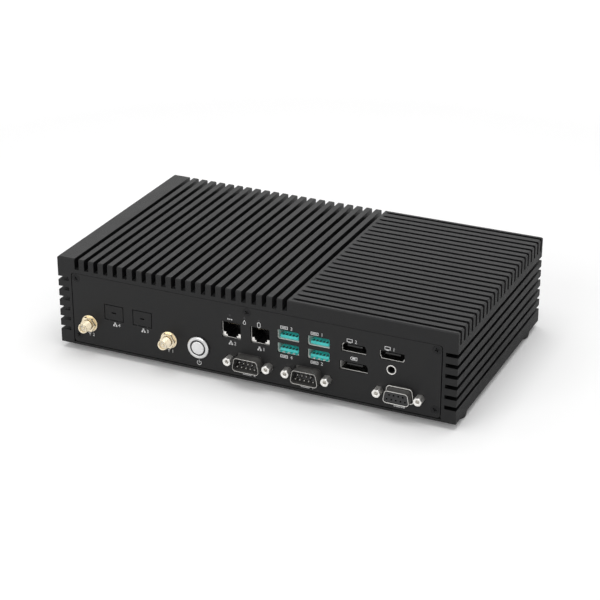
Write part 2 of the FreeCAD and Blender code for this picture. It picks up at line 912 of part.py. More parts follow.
def power_button_cap():
    disc = rod(cap_radius, button_x, button_z, bezel_face - cap_stand_out, collar_front)
    rim = [edge for edge in disc.Edges if edge.Closed and edge.CenterOfMass.y < bezel_face]
    disc = disc.makeChamfer(cap_rim_chamfer, rim)
    collar = rod(button_bore_radius - cap_clearance, button_x, button_z, collar_front, collar_back)
    stem = rod(stem_radius, button_x, button_z, collar_back, collar_back + stem_length)
    return joined([disc, collar, stem])


def power_button_switch():
    body = rod(button_bore_radius - fit_gap, button_x, button_z, switch_front, switch_front + switch_length)
    stem_room = stem_length + cap_travel + cap_clearance
    bore = rod(stem_radius + cap_clearance, button_x, button_z, switch_front, collar_back + stem_room)
    tail = switch_front + switch_length
    terminals = [
        block(button_x + side - switch_terminal / 2, button_x + side + switch_terminal / 2, tail,
              tail + 2 * switch_terminal, button_z - switch_terminal, button_z + switch_terminal)
        for side in (-button_bore_radius / 2, button_bore_radius / 2)
    ]
    return joined([body.cut(bore)] + terminals)


def power_button_nut():
    nut = hexagon(button_nut_flats, button_nut_thickness)
    nut = nut.cut(Part.makeCylinder(button_barrel_radius + fit_gap, button_nut_thickness))
    return placed(nut, Vector(button_x, panel_back, button_z), into_front)


save("power_button_bezel", power_button_bezel())
save("power_button_light_ring", power_button_light_ring())
save("power_button_cap", power_button_cap())
save("power_button_switch", power_button_switch())
save("power_button_nut", power_button_nut())


# ------------------------------------------------------------------ antenna jacks
antenna_z = base + antenna_height


def antenna_jack(x):
    """A gold jack: threaded barrel through the panel, hexagonal flange and tail behind it."""
    tip = front - antenna_reach
    thread_end = front - antenna_washer_thickness - antenna_nut_thickness
    barrel = rod(antenna_barrel_radius, x, antenna_z, tip, thread_end)
    neck = rod(antenna_neck_radius, x, antenna_z, thread_end, panel_back)
    flange = placed(hexagon(antenna_flange_flats, antenna_flange_thickness),
                    Vector(x, panel_back, antenna_z), into_front)
    tail_start = panel_back + antenna_flange_thickness
    tail = rod(antenna_tail_radius, x, antenna_z, tail_start, tail_start + antenna_tail_length)
    socket = rod(antenna_bore_radius, x, antenna_z, tip, tip + antenna_bore_depth)
    pin = rod(antenna_pin_radius, x, antenna_z, tip + antenna_bore_depth / 2, tip + antenna_bore_depth)
    return joined([joined([barrel, neck, flange, tail]).cut(socket), pin])


def antenna_nut(x):
    nut = hexagon(antenna_nut_flats, antenna_nut_thickness)
    nut = nut.cut(Part.makeCylinder(antenna_barrel_radius + fit_gap, antenna_nut_thickness))
    return placed(nut, Vector(x, front - antenna_washer_thickness, antenna_z), into_back)


def antenna_washer(x):
    y0 = front - antenna_washer_thickness
    washer = rod(antenna_washer_radius, x, antenna_z, y0, front)
    return washer.cut(rod(antenna_barrel_radius + fit_gap, x, antenna_z, y0, front))


for number, share in enumerate(reversed(antenna_stations), start=1):
    save("antenna_jack_%d" % number, antenna_jack(station(share)))
save("antenna_nuts", [antenna_nut(station(share)) for share in antenna_stations])
save("antenna_washers", [antenna_washer(station(share)) for share in antenna_stations])


# ------------------------------------------------------------------ indicator light pipe
def light_pipe():
    """One clear moulding: a nub in each hole, a bar behind the panel and a leg to the board."""
    nubs = [rod(indicator_radius, station(share), base + indicator_height, front, panel_back)
            for share in indicator_stations]
    z0 = base + indicator_height - light_bar_height / 2
    z1 = base + indicator_height + light_bar_height / 2
    y1 = panel_back + light_bar_thickness
    bar = block(station(indicator_stations[0]) - light_bar_height,
                station(indicator_stations[-1]) + light_bar_height, panel_back, y1, z0, z1)
    leg_x = station(sum(lan_stations) / len(lan_stations))
    leg = block(leg_x - light_leg_width / 2, leg_x + light_leg_width / 2, panel_back, y1, board_top, z1)
    return joined([bar, leg] + nubs)


save("light_pipe", light_pipe())


# ------------------------------------------------------------------ network sockets
lan_face = panel_back + fit_gap


def lan_block(x, inset):
    """The outer block of a network socket, or the room inside its shield."""
    return block(x - lan_body_width / 2 + inset, x + lan_body_width / 2 - inset,
                 lan_face + inset, lan_face + lan_body_depth - inset,
                 board_top, board_top + lan_body_height - inset)


def lan_shield(x):
    hollow = lan_block(x, 0).cut(lan_block(x, shell_wall))
    return hollow.cut(lan_opening(x, lan_face - overcut, lan_face + overcut))


def lan_insert(x):
    solid = lan_block(x, shell_wall + fit_gap)
    return solid.cut(lan_opening(x, lan_face, lan_face + lan_cavity_depth))


def lan_contact(x):
    """One sprung wire, from the roof of the mouth down towards the back."""
    x0 = x - lan_contact_size / 2
    y0 = lan_face + lan_contact_setback
    y1 = y0 + lan_contact_length
    z1 = base + lan_opening_top
    z0 = z1 - lan_contact_drop
    profile = [
        Vector(x0, y0, z1),
        Vector(x0, y1, z0),
        Vector(x0, y1, z0 - lan_contact_size),
        Vector(x0, y0 - lan_contact_root, z1),
        Vector(x0, y0, z1),
    ]
    return Part.Face(Part.makePolygon(profile)).extrude(Vector(lan_contact_size, 0, 0))


lan_wires = []
for number, share in enumerate(reversed(lan_stations), start=1):
    save("lan_shield_%d" % number, lan_shield(station(share)))
    save("lan_insert_%d" % number, lan_insert(station(share)))
    for k in range(lan_contact_count):
        wire_x = station(share) + (k - (lan_contact_count - 1) / 2) * lan_contact_pitch
        lan_wires.append(lan_contact(wire_x))
save("lan_contacts", lan_wires)


# ------------------------------------------------------------------ serial ports
serial_z = base + serial_height
serial_flange_width = jackscrew_spacing + 2 * (jackscrew_shank_radius + serial_flange_margin)


def serial_flange(x):
    plate = front_prism(rectangle(x, serial_z, serial_flange_width, serial_flange_height),
                        panel_back, panel_back + serial_flange_thickness, serial_flange_corner)
    holes = [rod(jackscrew_shank_radius + fit_gap, x + side * jackscrew_spacing / 2, serial_z,
                 panel_back, panel_back + serial_flange_thickness) for side in (-1, 1)]
    return plate.cut(Part.makeCompound(holes))


def serial_shell(x, width, height, reach):
    """A drawn steel shell: a D tube on a flange that lies behind the panel."""
    y0 = front - reach
    y1 = panel_back + serial_flange_thickness
    tube = front_prism(serial_outline(x, serial_z, width, height), y0, y1, serial_corner_radius)
    inner = serial_outline(x, serial_z, width - 2 * shell_wall, height - 2 * shell_wall)
    bore = front_prism(inner, y0, y1, serial_corner_radius - shell_wall)
    return joined([tube, serial_flange(x)]).cut(bore)


def with_dimples(shell, x):
    """A plug's shell with its three grip dimples pressed into the upper side."""
    y = front - plug_shell_reach + plug_dimple_from_rim
    z = serial_z + plug_shell_height / 2 + plug_dimple_radius - plug_dimple_depth
    dents = [Part.makeSphere(plug_dimple_radius, Vector(x + k * plug_dimple_pitch, y, z)) for k in (-1, 0, 1)]
    return shell.cut(Part.makeCompound(dents))


def pin_places(x):
    """The two staggered rows of a nine-pin port: five contacts below and four above."""
    return [
        (x + (k - (count - 1) / 2) * pin_pitch, serial_z + row * pin_row_gap / 2)
        for row, count in ((-1, 5), (1, 4))
        for k in range(count)
    ]


def serial_insulator(x, width, height, face):
    """The plastic block that carries the contacts and stands against the board."""
    gap = shell_wall + fit_gap
    outline = serial_outline(x, serial_z, width - 2 * gap, height - 2 * gap)
    nose = front_prism(outline, face, panel_back + serial_flange_thickness, serial_corner_radius - gap)
    y0 = panel_back + serial_flange_thickness
    body = block(x - serial_body_width / 2, x + serial_body_width / 2, y0, y0 + serial_body_depth,
                 serial_z - serial_flange_height / 2 + serial_body_step, board_bottom)
    bores = [rod(pin_radius + fit_gap, px, pz, face, y0 + serial_body_depth)
             for px, pz in pin_places(x)]
    return joined([nose, body]).cut(Part.makeCompound(bores))


def serial_contacts(x, tip):
    y1 = panel_back + serial_flange_thickness + serial_body_depth + contact_tail
    return [rod(pin_radius, px, pz, tip, y1) for px, pz in pin_places(x)]


com_pins = []
for number, share in enumerate(com_stations, start=1):
    port_x = station(share)
    plug_shell = serial_shell(port_x, plug_shell_width, plug_shell_height, plug_shell_reach)
    save("com_shell_%d" % number, with_dimples(plug_shell, port_x))
    save("com_insulator_%d" % number,
         serial_insulator(port_x, plug_shell_width, plug_shell_height, front + pin_setback))
    com_pins += serial_contacts(port_x, front - plug_shell_reach + pin_setback)
save("com_pins", com_pins)

gpio_x = station(gpio_station)
gpio_tube = serial_shell(gpio_x, socket_shell_width, socket_shell_height, plug_shell_reach)
collar_outer = serial_outline(gpio_x, serial_z, socket_collar_width, socket_collar_height)
collar_inner = serial_outline(gpio_x, serial_z, socket_collar_width - 2 * socket_collar_wall,
                              socket_collar_height - 2 * socket_collar_wall)
gpio_collar = front_prism(collar_outer, front - socket_collar_reach, panel_back, serial_corner_radius)
gpio_collar = gpio_collar.cut(front_prism(collar_inner, front - socket_collar_reach, panel_back,
                                          serial_corner_radius - shell_wall))
save("gpio_shell", joined([gpio_tube, gpio_collar]))
save("gpio_insulator", serial_insulator(gpio_x, socket_shell_width, socket_shell_height,
                                        front - plug_shell_reach + shell_wall))
save("gpio_contacts", serial_contacts(gpio_x, front))


def jackscrew(x):
    """A hexagonal jackscrew with a tapped head and a threaded shank."""
    head = hexagon(jackscrew_flats, jackscrew_head_length)
    head = head.cut(Part.makeCylinder(jackscrew_thread_radius, jackscrew_thread_depth))
    shank = Part.makeCylinder(jackscrew_shank_radius, jackscrew_shank_length)
    shank.translate(upwards * jackscrew_head_length)
    return placed(joined([head, shank]), Vector(x, front - jackscrew_head_length, serial_z), into_front)


save("jackscrews", [jackscrew(station(share) + side * jackscrew_spacing / 2)
                    for share in com_stations + [gpio_station] for side in (-1, 1)])


# ------------------------------------------------------------------ USB sockets
usb_body_face = panel_back + fit_gap
usb_mouth_back = usb_body_face + usb_cavity_depth


def usb_body(x, inset):
    return block(x - usb_body_width / 2 + inset, x + usb_body_width / 2 - inset,
                 usb_body_face + inset, usb_body_face + usb_body_depth - inset,
                 board_top, board_top + usb_body_height - inset)


def usb_spring_slots(x):
    """Slots in the floor of the lower mouth that free its contact springs."""
    z1 = base + usb_port_heights[0] - usb_mouth_height / 2 + fit_gap
    starts = [x - usb_mouth_width / 2 + usb_mouth_corner + k * usb_slot_pitch for k in range(usb_slot_count)]
    return [block(x0, x0 + usb_slot_width, usb_body_face, usb_body_face + usb_slot_length,
                  z1 - shell_wall - 2 * fit_gap, z1) for x0 in starts]


def usb_shell(x):
    """A folded steel box behind the panel, with a steel lining in each mouth."""
    box = usb_body(x, 0).cut(usb_body(x, shell_wall))
    linings = usb_mouths(x, shell_wall, usb_body_face, usb_mouth_back)
    mouths = usb_mouths(x, 0, usb_body_face, usb_mouth_back)
    return joined([box] + linings).cut(Part.makeCompound(mouths + usb_spring_slots(x)))


def usb_insert(x):
    """A moulded block with a tongue in the middle of each mouth."""
    solid = usb_body(x, shell_wall + fit_gap)
    cavities = usb_mouths(x, shell_wall + fit_gap, usb_body_face, usb_mouth_back + fit_gap)
    solid = solid.cut(Part.makeCompound(cavities))
    tongues = [
        block(x - usb_tongue_width / 2, x + usb_tongue_width / 2, front + usb_tongue_setback,
              usb_mouth_back + tongue_root,
              base + height - usb_tongue_drop - usb_tongue_thickness / 2,
              base + height - usb_tongue_drop + usb_tongue_thickness / 2)
        for height in usb_port_heights
    ]
    return joined([solid] + tongues)


for side_name, share in zip(("left", "right"), usb_stations):
    save("usb_shell_" + side_name, usb_shell(station(share)))
    save("usb_insert_" + side_name, usb_insert(station(share)))


# ------------------------------------------------------------------ picture and sound ports
mouth_face = panel_back + fit_gap
mouth_back = mouth_face + display_cavity_depth


def mouth_shell(outline, inner_outline):
    """The thin steel lining of a mouth in its plastic body."""
    tube = front_prism(outline, mouth_face, mouth_back)
    return tube.cut(front_prism(inner_outline, mouth_face, mouth_back))


def tongue(x, z, width):
    return block(x - width / 2, x + width / 2, front + display_tongue_setback, mouth_back + tongue_root,
                 z + display_tongue_rise - display_tongue_thickness / 2,
                 z + display_tongue_rise + display_tongue_thickness / 2)


def display_body():
    x = station(display_station)
    grow = shell_wall + fit_gap
    body = block(x - display_body_width / 2, x + display_body_width / 2, mouth_face,
                 mouth_face + display_body_depth, board_top, board_top + display_body_height)
    rooms = [front_prism(display_outline(grow), mouth_face, mouth_back),
             front_prism(display_lower_outline(grow), mouth_face, mouth_back)]
    tongues = [tongue(x, base + display_upper_height, display_tongue_width),
               tongue(x, base + display_lower_height, display_lower_tongue_width)]
    return joined([body.cut(Part.makeCompound(rooms))] + tongues)


def media_body():
    """The upper picture port stands on two legs over the sound jack."""
    x = station(media_station)
    half = media_body_width / 2
    y1 = mouth_face + display_body_depth
    body = block(x - half, x + half, mouth_face, y1, board_top, board_top + display_body_height)
    bridge_z = base + display_upper_height - display_mouth_height / 2 - media_bridge_thickness
    passage = block(x - half + media_leg_width, x + half - media_leg_width, mouth_face, y1, board_top, bridge_z)
    room = front_prism(media_outline(shell_wall + fit_gap), mouth_face, mouth_back)
    middle = tongue(x, base + display_upper_height, display_tongue_width)
    return joined([body.cut(Part.makeCompound([passage, room])), middle])


save("display_shell_upper", mouth_shell(display_outline(shell_wall), display_outline()))
save("display_shell_lower", mouth_shell(display_lower_outline(shell_wall), display_lower_outline()))
save("display_body", display_body())
save("media_shell", mouth_shell(media_outline(shell_wall), media_outline()))
save("media_body", media_body())

sound_x = station(media_station)
sound_z = base + sound_height


def sound_jack():
    y0 = panel_back + fit_gap
    body = block(sound_x - sound_body_width / 2, sound_x + sound_body_width / 2, y0, y0 + sound_body_depth,
                 board_top, board_top + sound_body_height)
    nose = rod(sound_nose_radius, sound_x, sound_z, front, y0)
    bore = rod(sound_bore_radius, sound_x, sound_z, front, front + sound_bore_length)
    return joined([body, nose]).cut(bore)


def sound_ring():
    y0 = front - sound_ring_reach
    ring = rod(sound_ring_radius, sound_x, sound_z, y0, panel_back)
    return ring.cut(rod(sound_nose_radius + fit_gap, sound_x, sound_z, y0, panel_back))


save("sound_jack", sound_jack())
save("sound_jack_ring", sound_ring())


# ------------------------------------------------------------------ mainboard
def mainboard():
    x0 = left + side_wall + board_side_gap
    y0 = panel_back + board_end_gap
    plate = block(x0, -x0, y0, rear_panel_face - fit_gap, board_bottom, board_top)
    notch = block(x0 - overcut, station(notch_station), y0 - overcut, front + notch_depth, board_bottom, board_top)
    holes = [post(board_hole_radius, x, y, board_bottom, board_top) for x, y in pillars]
    return plate.cut(Part.makeCompound([notch] + holes))


board_screw = pan_screw(board_screw_head_radius, board_screw_head_height, screw_shank_radius,
                        board_thickness + board_screw_grip)
save("mainboard_screws", [placed(board_screw, Vector(x, y, board_bottom), upwards) for x, y in pillars])


# ------------------------------------------------------------------ processor and spreader
def centred(x, y, size, z0, z1):
    """A square block about a vertical line."""
    return block(x - size / 2, x + size / 2, y - size / 2, y + size / 2, z0, z1)


package_top = board_top + processor_thickness
die_top = package_top + die_thickness
pad_top = die_top + pad_thickness
package = centred(spreader_x, spreader_y, processor_size, board_top, package_top)
die = centred(spreader_x, spreader_y, die_size, package_top, die_top)
spreader_block = centred(spreader_x, spreader_y, spreader_size, pad_top, ceiling)
sink_depth = board_screw_head_height + fit_gap
spreader_holes = []
for x, y in spreader_screw_places:
    spreader_holes.append(post(screw_shank_radius + fit_gap, x, y, pad_top, ceiling))
    spreader_holes.append(post(board_screw_head_radius + fit_gap, x, y, pad_top, pad_top + sink_depth))
spreader_screw = pan_screw(board_screw_head_radius, board_screw_head_height, screw_shank_radius,
                           ceiling + spreader_screw_grip - pad_top - sink_depth)
save("processor", joined([package, die]))
save("thermal_pad", centred(spreader_x, spreader_y, die_size, die_top, pad_top))
save("heat_spreader", spreader_block.cut(Part.makeCompound(spreader_holes)))
save("heat_spreader_screws", [placed(spreader_screw, Vector(x, y, pad_top + sink_depth), upwards)
                              for x, y in spreader_screw_places])


# ------------------------------------------------------------------ memory
memory_x = station(memory_station)
memory_y = front + memory_from_front
memory_slot_z = board_bottom - memory_socket_height / 2


def memory_socket():
    """A bar with the slot, and two arms that carry the sides of the card."""
    half = memory_socket_width / 2
    z0 = board_bottom - memory_socket_height
    bar = block(memory_x - half, memory_x + half, memory_y - memory_socket_depth, memory_y, z0, board_bottom)
    arms = [block(x, x + memory_arm_width, memory_y, memory_y + memory_arm_length, z0, board_bottom)
            for x in (memory_x - half, memory_x + half - memory_arm_width)]
    slot = memory_plate(fit_gap)
    return joined([bar] + arms).cut(slot)


def memory_plate(grow=0.0):
    half = memory_card_width / 2 + grow
    thickness = memory_card_thickness / 2 + grow
    y0 = memory_y - memory_socket_depth / 2
    return block(memory_x - half, memory_x + half, y0 - grow, y0 + memory_card_length,
                 memory_slot_z - thickness, memory_slot_z + thickness)


def memory_card():
    z1 = memory_slot_z - memory_card_thickness / 2
    y0 = memory_y + memory_chip_size / 2
    places = [memory_x + k * memory_chip_pitch for k in (-1.5, -0.5, 0.5, 1.5)]
    chips = [block(x - memory_chip_size / 2, x + memory_chip_size / 2, y0, y0 + memory_chip_size,
                   z1 - memory_chip_height, z1) for x in places]
    return joined([memory_plate()] + chips)


save("memory_card", memory_card())


# ------------------------------------------------------------------ plug-in cards
def slot_plate(x, y, length, grow=0.0):
    """The card's board, with its contact edge inside the socket at its right end."""
    z1 = board_bottom - slot_card_height + grow
    z0 = z1 - slot_card_thickness - 2 * grow
    x1 = x + slot_card_bite + grow
    half = slot_card_width / 2 + grow
    return block(x1 - length, x1, y - half, y + half, z0, z1)


def slot_socket(x, y, length):
    z0 = board_bottom - slot_socket_height
    half = slot_socket_width / 2 + slot_socket_cheek
    body = block(x, x + slot_socket_depth, y - half, y + half, z0, board_bottom)
    return body.cut(slot_plate(x, y, length, fit_gap))


def card_end(x, length):
    return x + slot_card_bite - length


def slot_card(x, y, length, chip_count):
    z0 = board_bottom - slot_card_height - slot_card_thickness
    starts = [x - slot_chip_from_end - k * slot_chip_pitch for k in range(chip_count)]
    chips = [block(start - slot_chip_length, start, y - slot_chip_width / 2, y + slot_chip_width / 2,
                   z0 - slot_chip_height, z0) for start in starts]
    screw_notch = post(card_screw_radius + fit_gap, card_end(x, length), y, z0, board_bottom)
    return joined([slot_plate(x, y, length)] + chips).cut(screw_notch)


def card_standoff(x, y, length):
    z0 = board_bottom - slot_card_height
    standoff = post(card_standoff_radius, card_end(x, length), y, z0, board_bottom)
    return standoff.cut(post(card_screw_radius + fit_gap, card_end(x, length), y, z0, board_bottom))


card_screw = pan_screw(card_screw_head_radius, card_screw_head_height, card_screw_radius,
                       slot_card_thickness + slot_card_height)


def card_screw_at(x, y, length):
    z = board_bottom - slot_card_height - slot_card_thickness
    return placed(card_screw, Vector(card_end(x, length), y, z), upwards)


ssd_place = (station(ssd_station), depth_station(ssd_depth_station), ssd_length)
wireless_place = (station(wireless_station), front + wireless_from_front, wireless_length)
save("ssd_card", slot_card(*ssd_place, ssd_chip_count))
save("wireless_card", slot_card(*wireless_place, 1))
save("card_screws", [card_screw_at(*ssd_place), card_screw_at(*wireless_place)])


# ------------------------------------------------------------------ antenna leads
def lead(points):
    """A thin coaxial lead on straight runs joined by tangent arcs."""
    edges = []
    start = points[0]
    for before, corner, after in zip(points, points[1:], points[2:]):
        inward = (before - corner).normalize()
        outward = (after - corner).normalize()
        half_angle = inward.getAngle(outward) / 2
        setback = pigtail_bend / math.tan(half_angle)
        first = corner + inward * setback
        last = corner + outward * setback
        middle_way = (inward + outward).normalize()
        middle = corner + middle_way * (pigtail_bend / math.sin(half_angle) - pigtail_bend)
        edges.append(Part.LineSegment(start, first).toShape())
        edges.append(Part.Arc(first, middle, last).toShape())
        start = last
    edges.append(Part.LineSegment(start, points[-1]).toShape())
    path = Part.Wire(edges)
    direction = (points[1] - points[0]).normalize()
    section = Part.Wire([Part.Circle(points[0], direction, pigtail_radius).toShape()])
    return path.makePipeShell([section], True, False)


def antenna_pigtail(x, plug_x, plug_y):
    """From the jack's tail back and down to a small plug under the wireless card."""
    start = Vector(x, panel_back + antenna_flange_thickness + antenna_tail_length, antenna_z)
    plug_top = board_bottom - slot_card_height - slot_card_thickness
    run_z = plug_top - pigtail_plug_height / 2
    end = Vector(plug_x, plug_y, run_z)
    swerve = Vector(x, start.y + pigtail_straight_run, antenna_z)
    approach = Vector(plug_x, plug_y - pigtail_last_run, run_z)
    plug = post(pigtail_plug_radius, plug_x, plug_y, plug_top - pigtail_plug_height, plug_top)
    return joined([lead([start, swerve, approach, end]), plug])


card_y = front + wireless_from_front - slot_card_width / 2 + pigtail_plug_from_card_edge
wireless_x = station(wireless_station)
save("antenna_pigtails", [antenna_pigtail(station(share), wireless_x - plug, card_y)
                          for share, plug in zip(antenna_stations, pigtail_plugs_from_socket)])


# ------------------------------------------------------------------ soldered parts
# The memory and card sockets, the standoffs, the cell's holder, the coils and the capacitors
# are soldered down, so they leave the housing with the board as one piece.
coin_x = station(coin_station)
coin_y = front + coin_from_front
cell_seat = board_top + coin_holder_wall


def coin_holder():
    holder = post(coin_radius + coin_holder_wall, coin_x, coin_y, board_top, board_top + coin_thickness)
    return holder.cut(post(coin_radius + fit_gap, coin_x, coin_y, cell_seat, cell_seat + coin_thickness))


def row_places(count, pitch):
    """The Y positions of a row beside the processor."""
    return [spreader_y + (k - (count - 1) / 2) * pitch for k in range(count)]


def soldered_parts():
    coil_x = spreader_x - coil_from_processor
    coils = [block(coil_x, coil_x + coil_size, y - coil_size / 2, y + coil_size / 2,
                   board_top, board_top + coil_height) for y in row_places(coil_count, coil_pitch)]
    cans = [post(can_radius, spreader_x + can_from_processor, y, board_top, board_top + can_height)
            for y in row_places(can_count, can_pitch)]
    sockets = [memory_socket(), slot_socket(*ssd_place), slot_socket(*wireless_place)]
    return coils + cans + sockets + [card_standoff(*ssd_place), card_standoff(*wireless_place), coin_holder()]


save("coin_cell", post(coin_radius, coin_x, coin_y, cell_seat, cell_seat + coin_thickness))
save("mainboard", joined([mainboard()] + soldered_parts()))
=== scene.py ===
import json
import math

import bmesh
import bpy
from mathutils import Matrix, Vector

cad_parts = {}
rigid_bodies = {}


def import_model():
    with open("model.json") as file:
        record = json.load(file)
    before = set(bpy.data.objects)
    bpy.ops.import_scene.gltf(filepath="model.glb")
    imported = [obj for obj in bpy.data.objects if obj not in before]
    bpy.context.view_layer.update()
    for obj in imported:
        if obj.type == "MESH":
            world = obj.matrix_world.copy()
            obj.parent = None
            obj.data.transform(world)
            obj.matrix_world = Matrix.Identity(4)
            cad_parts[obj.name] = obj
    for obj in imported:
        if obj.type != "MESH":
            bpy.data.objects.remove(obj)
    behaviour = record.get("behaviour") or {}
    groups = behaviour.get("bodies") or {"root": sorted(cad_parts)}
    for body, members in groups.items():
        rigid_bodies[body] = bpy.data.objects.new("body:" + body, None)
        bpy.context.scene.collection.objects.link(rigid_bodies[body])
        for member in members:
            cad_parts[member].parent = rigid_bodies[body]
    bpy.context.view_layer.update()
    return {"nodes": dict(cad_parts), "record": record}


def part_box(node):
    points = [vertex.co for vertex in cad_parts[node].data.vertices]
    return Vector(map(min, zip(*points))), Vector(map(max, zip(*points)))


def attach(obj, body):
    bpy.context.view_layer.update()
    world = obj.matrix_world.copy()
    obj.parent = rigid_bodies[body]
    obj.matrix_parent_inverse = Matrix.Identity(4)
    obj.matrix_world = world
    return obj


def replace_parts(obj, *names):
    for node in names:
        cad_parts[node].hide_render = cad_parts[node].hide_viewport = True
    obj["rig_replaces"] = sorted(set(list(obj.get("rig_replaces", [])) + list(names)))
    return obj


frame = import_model()

# A fanless computer for machine control, put together from its housing outwards: the milled
# heat sink, the panels, the sockets in the front panel, the button, the feet and the inside.
# Lengths are in metres, and most are given as millimetres times MM.

# ------------------------ heat-sink housing
# One block of aluminium, milled with crossed fins and then anodised satin black. The tree cuts
# the rooms, the rows of slots and the bores from a blank, as the mill does. Every edge has the
# small break that the mill and the tumbling leave, which is what catches the light.
MM = 0.001
BODY = "computer"
HOUSING_EDGE = 0.22 * MM
MACHINE_GRAIN = 0.6 * MM
PATCH_GRAINS = 25
SIDE_WALL = 9.0 * MM
SIDE_CHAMFER = 0.8 * MM
END_CHAMFER = 0.6 * MM
ROOM_CORNER = 2.0 * MM
RAIL_WIDTH = 7.4 * MM
UPPER_RAIL_HEIGHT = 5.6 * MM
LOWER_RAIL_HEIGHT = 9.8 * MM
BOSS_WIDTH, BOSS_LENGTH, BOSS_HEIGHT = 8 * MM, 10 * MM, 3.6 * MM
PILLAR_RADIUS = 3.6 * MM
THREAD_RADIUS, BRACKET_RADIUS = 1.55 * MM, 1.65 * MM
CASE_THREAD, BOARD_THREAD, SPREADER_THREAD, FOOT_THREAD = 8.0 * MM, 7.0 * MM, 3.0 * MM, 6.0 * MM
LONG_COUNT, LONG_START, LONG_PITCH, LONG_WIDTH, LONG_DEPTH = 22, 13.3 * MM, 6.51 * MM, 2.9 * MM, 6.9 * MM
CROSS_COUNT, CROSS_PITCH, CROSS_DEPTH = 24, 6.13 * MM, 8.2 * MM
SIDE_COUNT, SIDE_START, SIDE_PITCH, SIDE_DEPTH = 6, 9.6 * MM, 6.56 * MM, 7.2 * MM
SLOT_WIDTH = 2.4 * MM
FIELD_LAND = 1.6 * MM
SAW_RADIUS = 60.0 * MM
PAST = 1.0 * MM
WELD = 0.002 * MM


def linear(colour):
    """An sRGB hex colour as linear red, green, blue and alpha."""
    parts = [int(colour[k:k + 2], 16) / 255 for k in (1, 3, 5)]
    return (*[p / 12.92 if p <= 0.04045 else ((p + 0.055) / 1.055) ** 2.4 for p in parts], 1.0)


def add_node(tree, kind, inputs=None, **settings):
    """Adds a node with its properties; an input is a value, a socket, a node or a list of those."""
    node = tree.nodes.new(kind)
    for name, value in settings.items():
        setattr(node, name, value)
    for name, value in (inputs or {}).items():
        for part in value if isinstance(value, list) else [value]:
            if isinstance(part, bpy.types.Node):
                part = part.outputs[0]
            if isinstance(part, bpy.types.NodeSocket):
                tree.links.new(part, node.inputs[name])
            else:
                node.inputs[name].default_value = part
    return node


def surface(name, dark, light, grain, low, high, relief, depth=0.1, **constants):
    """A material whose colour and roughness wander over patches, with a fine relief on top.

    The roughness runs from low to high, and the depth of the relief is a share of the grain.
    """
    material = bpy.data.materials.new(name)
    material.use_nodes = True
    tree = material.node_tree
    shader = tree.nodes["Principled BSDF"]
    for socket, value in constants.items():
        shader.inputs[socket.replace("_", " ")].default_value = value
    place = add_node(tree, "ShaderNodeTexCoord").outputs["Object"]
    patches = add_node(tree, "ShaderNodeTexNoise", {
        "Vector": place, "Scale": 1 / (PATCH_GRAINS * grain), "Detail": 3.0}).outputs["Fac"]
    grains = add_node(tree, "ShaderNodeTexNoise", {"Vector": place, "Scale": 1 / grain, "Detail": 2.0})
    ramp = add_node(tree, "ShaderNodeValToRGB", {"Fac": patches})
    for element, position, colour in zip(ramp.color_ramp.elements, (0.35, 0.65), (dark, light)):
        element.position = position
        element.color = linear(colour)
    rough = add_node(tree, "ShaderNodeMapRange", {
        "Value": patches, "From Min": 0.3, "From Max": 0.7, "To Min": low, "To Max": high})
    bump = add_node(tree, "ShaderNodeBump", {
        "Height": grains.outputs["Fac"], "Strength": relief, "Distance": depth * grain})
    tree.links.new(ramp.outputs["Color"], shader.inputs["Base Color"])
    tree.links.new(rough.outputs["Result"], shader.inputs["Roughness"])
    tree.links.new(bump.outputs["Normal"], shader.inputs["Normal"])
    return material


def new_piece(name, mesh, material):
    """An object of its own for a mesh, in one material."""
    piece = bpy.data.objects.new(name, mesh)
    bpy.context.collection.objects.link(piece)
    mesh.materials.clear()
    mesh.materials.append(material)
    return piece


def finished_mesh(piece):
    """The mesh that a piece comes to with its modifiers."""
    bpy.context.view_layer.update()
    graph = bpy.context.evaluated_depsgraph_get()
    return bpy.data.meshes.new_from_object(piece.evaluated_get(graph))


def plain_mesh(piece):
    """Turns the piece and its modifiers into plain mesh."""
    mesh = finished_mesh(piece)
    piece.modifiers.clear()
    piece.data = mesh
    return piece


def soften(piece, edge, segments=2, angle=32):
    """Breaks the sharp edges and shades the rest smooth, with flat faces kept flat."""
    piece.data.shade_smooth()
    bevel = piece.modifiers.new("edges", "BEVEL")
    bevel.width = edge
    bevel.segments = segments
    bevel.limit_method = "ANGLE"
    bevel.angle_limit = math.radians(angle)
    even = piece.modifiers.new("even shading", "WEIGHTED_NORMAL")
    even.weight = 100
    even.keep_sharp = True
    return plain_mesh(piece)


def settle(piece, body, slot, *nodes):
    """Puts a finished piece on its body, in place of its CAD nodes."""
    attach(piece, body)
    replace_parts(piece, *nodes)
    return piece


def welded(mesh):
    """The shape of a mesh with its doubled corners joined."""
    shape = bmesh.new()
    shape.from_mesh(mesh)
    bmesh.ops.remove_doubles(shape, verts=shape.verts, dist=WELD)
    return shape


def solid_boxes(node):
    """The lowest and highest corner of each separate solid of a CAD node, from left to right."""
    shape = welded(frame["nodes"][node].data)
    waiting, boxes = set(shape.verts), []
    while waiting:
        found = [waiting.pop()]
        for vertex in found:
            near = {edge.other_vert(vertex) for edge in vertex.link_edges} & waiting
            waiting -= near
            found.extend(near)
        low = Vector([min(v.co[k] for v in found) for k in range(3)])
        high = Vector([max(v.co[k] for v in found) for k in range(3)])
        boxes.append((low, high))
    shape.free()
    return sorted(boxes, key=lambda box: tuple(box[0]))


def whole_faces(mesh):
    """Joins the triangles of a mesh into whole flat faces."""
    shape = welded(mesh)
    bmesh.ops.dissolve_limit(shape, angle_limit=math.radians(0.4), verts=shape.verts, edges=shape.edges)
    shape.to_mesh(mesh)
    shape.free()
    for layer in [a for a in mesh.attributes if a.name in ("sharp_edge", "sharp_face", "custom_normal")]:
        mesh.attributes.remove(layer)
    return mesh


